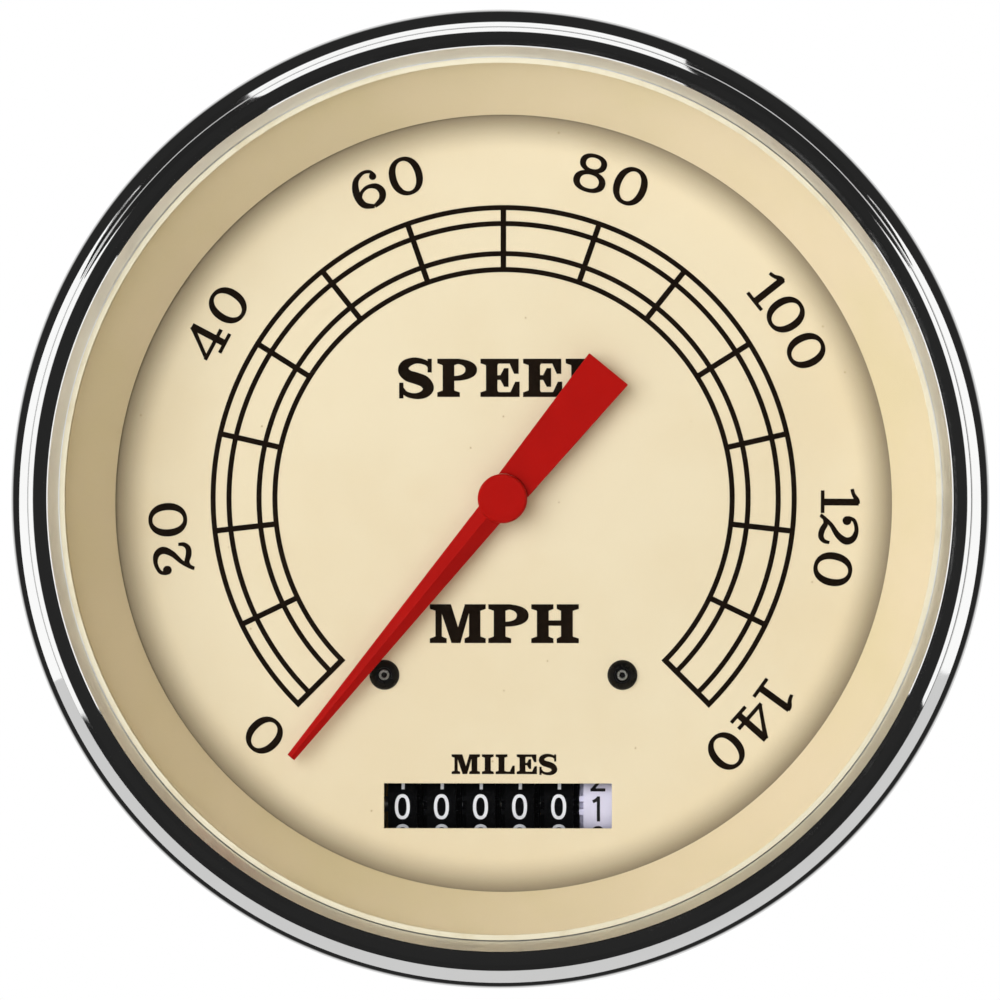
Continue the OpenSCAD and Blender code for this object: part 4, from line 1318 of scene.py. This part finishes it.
@dataclass
class RearFittings:
    """The case, the cable neck, the lamps and the clamp behind the panel."""

    edge: float = 0.15 * MM
    neck_pitch: float = 1.411 * MM
    neck_depth: float = 0.8 * MM
    neck_start: float = 1.8 * MM
    stud_pitch: float = 0.8 * MM
    stud_depth: float = 0.42 * MM
    stud_start: float = 2.0 * MM
    stud_r: float = 2.4 * MM
    end_gap: float = 0.5 * MM
    thread_steps: int = 32
    thread_foot: float = 0.46
    thread_crest: float = 0.07
    thread_sink: float = 0.1
    thread_run_out: float = 0.5

    def build(self) -> None:
        """Dresses the rear pieces and cuts their threads."""
        zinc = ZINC.material()
        soften(dress("case", CASE_PAINT.material()), self.edge)
        for node in ("movement_screws", "lamp_sockets", "clamp_bracket", "lock_washers", "thumb_nuts"):
            soften(dress(node, zinc), self.edge)
        dress("lamp_bulbs", BULB_GLASS.material())
        self.build_neck()
        self.build_studs(zinc)

    def build_neck(self) -> None:
        """Makes the base casting with a threaded neck for the drive cable."""
        metal = DIE_CAST.material()
        axis = [(0.0, 0.0)]
        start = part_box("case")[1][1] + self.neck_start
        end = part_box("movement_base")[1][1] - self.end_gap
        radius = self.slim("base_casting", "movement_base", axis, start - self.end_gap, self.neck_depth,
                           metal)
        thread = self.thread("neck_thread", radius, self.neck_depth, self.neck_pitch,
                             start + self.end_gap, end, axis, metal)
        add_piece(thread, "root", "die_cast")

    def build_studs(self, zinc: bpy.types.Material) -> None:
        """Makes the threaded studs that the clamp slides on.

        Args:
            zinc: Their plating.
        """
        low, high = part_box("mounting_studs")
        middle = (low[2] + high[2]) / 2
        centre = high[0] - (high[2] - low[2]) / 2
        centres = [(centre, middle), (-centre, middle)]
        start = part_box("case")[1][1] + self.stud_start
        self.slim("stud_shanks", "mounting_studs", centres, low[1], self.stud_depth, zinc, self.stud_r)
        thread = self.thread("stud_threads", self.stud_r, self.stud_depth, self.stud_pitch, start,
                             high[1] - self.end_gap, centres, zinc)
        add_piece(thread, "root", "zinc_plate")

    def slim(self, name: str, node: str, centres: Sequence[Point], start: float, depth: float,
             material: bpy.types.Material, radius: float = 0.0) -> float:
        """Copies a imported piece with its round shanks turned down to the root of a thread.

        Args:
            name: The new piece's name.
            node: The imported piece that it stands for.
            centres: Where the shanks' axes stand in X and Z.
            start: The depth along Y from which points belong to a shank.
            depth: The depth of the thread.
            material: The piece's finish.
            radius: The shanks' radius, or nought for the widest beyond the start.

        Returns:
            The shanks' outer radius.
        """
        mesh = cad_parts[node].data.copy()
        near = []
        for point in mesh.vertices:
            x, z = min(centres, key=lambda c: math.hypot(point.co.x - c[0], point.co.z - c[1]))
            near.append((x, z, math.hypot(point.co.x - x, point.co.z - z)))
        beyond = [reach for point, (_, _, reach) in zip(mesh.vertices, near) if point.co.y > start]
        radius = radius or max(beyond)
        share = 1.0 - depth / radius
        for point, (x, z, reach) in zip(mesh.vertices, near):
            if point.co.y > start and abs(reach - radius) < self.edge:
                point.co.x = x + (point.co.x - x) * share
                point.co.z = z + (point.co.z - z) * share
        piece = bpy.data.objects.new(name, mesh)
        bpy.context.scene.collection.objects.link(piece)
        mesh.materials.clear()
        mesh.materials.append(material)
        soften(piece, self.edge)
        add_piece(piece, "root", "die_cast" if node == "movement_base" else "zinc_plate", node)
        return radius

    def thread(self, name: str, radius: float, depth: float, pitch: float, start: float, end: float,
               centres: Sequence[Point], material: bpy.types.Material) -> bpy.types.Object:
        """Winds a screw thread's ridge round one or more shanks.

        Args:
            name: The piece's name.
            radius: The thread's outer radius.
            depth: The thread's depth.
            pitch: The rise in one turn.
            start: Where it begins along Y.
            end: Where it ends along Y.
            centres: Where the shanks' axes stand in X and Z.
            material: The piece's finish.

        Returns:
            The ridge.
        """
        count = int((end - start) / pitch * self.thread_steps)
        run_out = self.thread_run_out * self.thread_steps
        root = radius - depth * (1 + self.thread_sink)
        points = []
        faces = []
        for x, z in centres:
            first = len(points)
            for step in range(count + 1):
                turn = 2 * math.pi * step / self.thread_steps
                y = start + pitch * step / self.thread_steps
                crest = radius - depth * (1 - min(1.0, step / run_out, (count - step) / run_out))
                section = ((root, -self.thread_foot), (crest, -self.thread_crest),
                           (crest, self.thread_crest), (root, self.thread_foot))
                points += [(x + r * math.sin(turn), y + along * pitch, z + r * math.cos(turn))
                           for r, along in section]
            for step in range(count):
                here = first + 4 * step
                for i in range(4):
                    j = (i + 1) % 4
                    faces.append((here + i, here + j, here + 4 + j, here + 4 + i))
            last = first + 4 * count
            faces += [(first + 3, first + 2, first + 1, first), (last, last + 1, last + 2, last + 3)]
        return new_piece(name, points, faces, material)


class Glow(Enum):
    """How brightly a card shines."""

    WHITE = 1.0
    PALE = 0.6
    GREY = 0.62
    DARK = 0.018

    def material(self) -> bpy.types.Material:
        """Builds an even glow of this brightness."""
        material, graph, _, output = start_material(f"{self.name.lower()}_card")
        light = graph.node("ShaderNodeEmission", {"Color": WHITE, "Strength": self.value})
        graph.feed(output.inputs["Surface"], light.outputs[0])
        return material


class Side(Enum):
    """Which way a card runs from the top."""

    RIGHT = 1.0
    LEFT = -1.0


@dataclass(frozen=True)
class Card:
    """A bent strip of card in front of the rim.

    A station is an angle from the top, with the angles off the axis at which the rim mirrors the
    strip's inner and outer edge there, all in degrees.
    """

    name: str
    glow: Glow
    side: Side
    stations: tuple[Knot, ...]


@dataclass(frozen=True)
class Lamp:
    """A soft lamp, placed in degrees to the right of the dial's axis and above it."""

    name: str
    turn: float
    rise: float
    share: float


SIDE_STATIONS = ((50.0, 28.0, 36.0), (70.0, 28.0, 50.0), (90.0, 28.0, 62.0), (112.0, 28.0, 74.0))
LOW_STATIONS = ((112.0, 0.0, 74.0), (135.0, -3.0, 80.0), (180.0, -3.0, 84.0))
LOW_FLAG_STATIONS = ((117.0, -40.0, -3.0), (180.0, -40.0, -3.0))
CARDS = (
    Card("side_card_+1", Glow.WHITE, Side.RIGHT, SIDE_STATIONS),
    Card("low_card_+1", Glow.GREY, Side.RIGHT, LOW_STATIONS),
    Card("low_flag_+1", Glow.DARK, Side.RIGHT, LOW_FLAG_STATIONS),
    Card("side_card_-1", Glow.WHITE, Side.LEFT, SIDE_STATIONS),
    Card("low_card_-1", Glow.GREY, Side.LEFT, LOW_STATIONS),
    Card("low_flag_-1", Glow.DARK, Side.LEFT, LOW_FLAG_STATIONS),
    Card("line_card", Glow.PALE, Side.RIGHT, ((0.0, -1.0, 5.0), (360.0, -1.0, 5.0))),
    Card("flag_in_right", Glow.DARK, Side.RIGHT,
         ((22.0, -40.0, -1.0), (48.0, -40.0, -1.0), (60.0, -14.0, -8.0))),
    Card("flag_out_right", Glow.DARK, Side.RIGHT,
         ((22.0, 5.0, 44.0), (48.0, 5.0, 44.0), (60.0, 10.0, 15.0))),
    Card("flag_in_left", Glow.DARK, Side.LEFT,
         ((33.0, -40.0, -1.0), (51.0, -40.0, -1.0), (63.0, -14.0, -8.0))),
    Card("flag_out_left", Glow.DARK, Side.LEFT,
         ((33.0, 5.0, 44.0), (51.0, 5.0, 44.0), (63.0, 10.0, 15.0))),
)
LAMPS = (
    Lamp("key", -32.0, 8.0, 1.0),
    Lamp("back_fill", 150.0, 35.0, 0.6),
    Lamp("back_rim", -140.0, 20.0, 0.4),
)
FLOOR_PALE = tint(232, 232, 230)
FLOOR_WORN = tint(228, 228, 226)


@dataclass
class Studio:
    """The camera, the lamps, the surroundings and the floor."""

    pivot_y: float = -0.0068
    camera_turn: float = 2.2
    camera_rise: float = 0.4
    camera_far: float = 1.6
    camera_near: float = 0.01
    aim_right: float = 0.04 * MM
    aim_down: float = 0.12 * MM
    pixel: float = 0.12873 * MM
    image: int = 1000
    sensor: float = 36.0
    lamp_far: float = 0.9
    lamp_size: float = 1.1
    lamp_power: float = 11.2
    lamp_colour: tuple[float, float, float] = (0.85, 0.887, 0.985)
    ambient: float = 0.325
    ambient_colour: Colour = (1.0, 0.93, 0.71, 1.0)
    front_edge: Point = (0.53, 0.60)
    rear_edge: Point = (2.0, 2.5)
    lens_edge: Point = (0.06, 0.075)
    mirror_dark: float = 0.02
    mirror_rear: float = 0.7
    floor_z: float = -0.15
    floor_half: float = 1.5
    floor_front: float = -1.2
    floor_back: float = 1.4
    floor_patch: float = 8.0
    floor_low: float = 0.3
    floor_high: float = 0.7
    floor_rough: float = 0.9
    card_y: float = -0.05
    card_step: float = 3.0

    def build(self) -> None:
        """Builds the studio."""
        self.build_camera()
        self.build_lamps()
        self.build_world()
        self.build_floor()
        self.build_cards()

    def towards(self, turn: float, rise: float, far: float) -> Vector:
        """Finds a place in front of the dial.

        Args:
            turn: Degrees to the right of the dial's axis.
            rise: Degrees above the dial's axis.
            far: Distance from the pivot.

        Returns:
            The place.
        """
        a = math.radians(turn)
        e = math.radians(rise)
        return Vector((far * math.sin(a) * math.cos(e), self.pivot_y - far * math.cos(a) * math.cos(e),
                       far * math.sin(e)))

    def aim(self, thing: bpy.types.Object, place: Vector) -> None:
        """Puts a lamp or the camera at a place, facing the gauge.

        Args:
            thing: The lamp or the camera.
            place: Where it stands.
        """
        bpy.context.scene.collection.objects.link(thing)
        thing.location = place
        look = Vector((0.0, self.pivot_y, 0.0)) - place
        thing.rotation_euler = look.to_track_quat("-Z", "Y").to_euler()

    def build_camera(self) -> None:
        """Makes the camera at the photograph's angle."""
        lens = bpy.data.cameras.new("camera")
        lens.sensor_width = self.sensor
        lens.lens = self.sensor * self.camera_far / (self.image * self.pixel)
        lens.clip_start = self.camera_near
        camera = bpy.data.objects.new("camera", lens)
        self.aim(camera, self.towards(self.camera_turn, self.camera_rise, self.camera_far))
        camera.location += Vector((self.aim_right, 0.0, -self.aim_down))
        bpy.context.scene.camera = camera

    def build_lamps(self) -> None:
        """Makes the soft key lamp in front and two fill lamps behind."""
        for lamp in LAMPS:
            light = bpy.data.lights.new(lamp.name, "AREA")
            light.shape = "DISK"
            light.size = self.lamp_size
            light.energy = lamp.share * self.lamp_power
            light.color = self.lamp_colour
            thing = bpy.data.objects.new(lamp.name, light)
            self.aim(thing, self.towards(lamp.turn, lamp.rise, self.lamp_far))
            for ray in ("camera", "glossy", "transmission"):
                setattr(thing, f"visible_{ray}", False)

    def build_world(self) -> None:
        """Makes the surroundings: white to the eye, with dark sides that polished metal shows."""
        world = bpy.data.worlds.new("studio")
        world.use_nodes = True
        bpy.context.scene.world = world
        graph = Graph(world.node_tree)
        graph.tree.nodes.clear()
        way = graph.node("ShaderNodeTexCoord").outputs["Generated"]
        mirrored = self.towards(-self.camera_turn, 0.0, 1.0) - Vector((0.0, self.pivot_y, 0.0))
        off_axis = self.angle_from(graph, way, Vector((0.0, -1.0, 0.0)))
        off_lens = self.angle_from(graph, way, mirrored)
        front = graph.remap(off_axis, *self.front_edge, 1.0, self.mirror_dark)
        rear = graph.remap(off_axis, *self.rear_edge, 0.0, self.mirror_rear)
        lens = graph.remap(off_lens, *self.lens_edge, self.mirror_dark, 1.0)
        mirror = graph.sum("ADD", graph.sum("MULTIPLY", front, lens), rear)
        path = graph.node("ShaderNodeLightPath").outputs
        mirrored_ray = graph.sum("MAXIMUM", path["Is Glossy Ray"], path["Is Transmission Ray"])
        soft = graph.sum("MULTIPLY", self.ambient, graph.sum("SUBTRACT", 1.0, mirrored_ray))
        plain = graph.sum("ADD", graph.sum("MULTIPLY", mirror, mirrored_ray), soft)
        seen = graph.sum("MAXIMUM", path["Is Camera Ray"], mirrored_ray)
        level = graph.sum("MAXIMUM", path["Is Camera Ray"], plain)
        colour = graph.blend(seen, self.ambient_colour, WHITE)
        back = graph.node("ShaderNodeBackground", {"Color": colour, "Strength": level})
        graph.node("ShaderNodeOutputWorld", {"Surface": back.outputs[0]})

    @staticmethod
    def angle_from(graph: Graph, way: bpy.types.NodeSocket, axis: Vector) -> bpy.types.NodeSocket:
        """Measures how far a direction lies from an axis, in radians."""
        toward = graph.node("ShaderNodeVectorMath", {0: way, 1: axis}, operation="DOT_PRODUCT")
        return graph.sum("ARCCOSINE", toward.outputs["Value"])

    def build_floor(self) -> None:
        """Lays the pale floor."""
        material, graph, shader, _ = start_material("studio_floor")
        patches = EFFECTS.place(graph, Effect.MOTTLE, Scale=self.floor_patch, Low=self.floor_low,
                                High=self.floor_high)
        graph.feed(shader.inputs["Base Color"], graph.blend(patches, FLOOR_PALE, FLOOR_WORN))
        shader.inputs["Roughness"].default_value = self.floor_rough
        shader.inputs["Specular IOR Level"].default_value = 0.0
        corners = [(-self.floor_half, self.floor_front, self.floor_z),
                   (self.floor_half, self.floor_front, self.floor_z),
                   (self.floor_half, self.floor_back, self.floor_z),
                   (-self.floor_half, self.floor_back, self.floor_z)]
        floor = new_piece("floor", corners, [(0, 1, 2, 3)], material)
        floor.visible_glossy = False

    def build_cards(self) -> None:
        """Hangs the cards in front that only the polished rim mirrors."""
        glows = {glow: glow.material() for glow in Glow}
        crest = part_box("bezel")[0][1]
        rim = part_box("bezel")[1][0] - FrontRing().roll_r * MM

        def reach(degrees: float) -> float:
            """Finds how far out on the cards the rim mirrors at an angle from the axis."""
            return rim + (crest - self.card_y) * math.tan(math.radians(degrees))

        for plan in CARDS:
            stations = [(turn, reach(inner), reach(outer)) for turn, inner, outer in plan.stations]
            self.hang(plan, stations, glows[plan.glow])

    def hang(self, plan: Card, stations: Sequence[Knot], material: bpy.types.Material) -> None:
        """Hangs a bent strip of card that only mirrors see.

        Args:
            plan: The card.
            stations: Its angles from the top in degrees, each with its inner and outer radius.
            material: Its glow.
        """
        points = []
        for (a0, in0, out0), (a1, in1, out1) in zip(stations, stations[1:]):
            steps = max(1, round((a1 - a0) / self.card_step))
            for i in range(steps + (a1 == stations[-1][0])):
                share = i / steps
                turn = math.radians(a0 + (a1 - a0) * share) * plan.side.value
                for radius in (in0 + (in1 - in0) * share, out0 + (out1 - out0) * share):
                    points.append((radius * math.sin(turn), self.card_y, radius * math.cos(turn)))
        faces = [(i, i + 1, i + 3, i + 2) for i in range(0, len(points) - 2, 2)]
        card = new_piece(plan.name, points, faces, material)
        for ray in ("camera", "diffuse", "transmission", "volume_scatter", "shadow"):
            setattr(card, f"visible_{ray}", False)


def main() -> None:
    """Builds the gauge and its studio."""
    logging.basicConfig(level=logging.INFO, format="%(name)s: %(message)s")
    bpy.context.scene.view_settings.view_transform = "Standard"
    EFFECTS.build()
    Studio().build()
    for assembly in (FrontRing(), DialFace(), Pointer(), Odometer(), Movement(), RearFittings()):
        assembly.build()
        log.info("finished %s", type(assembly).__name__)


if __name__ == "__main__":
    main()
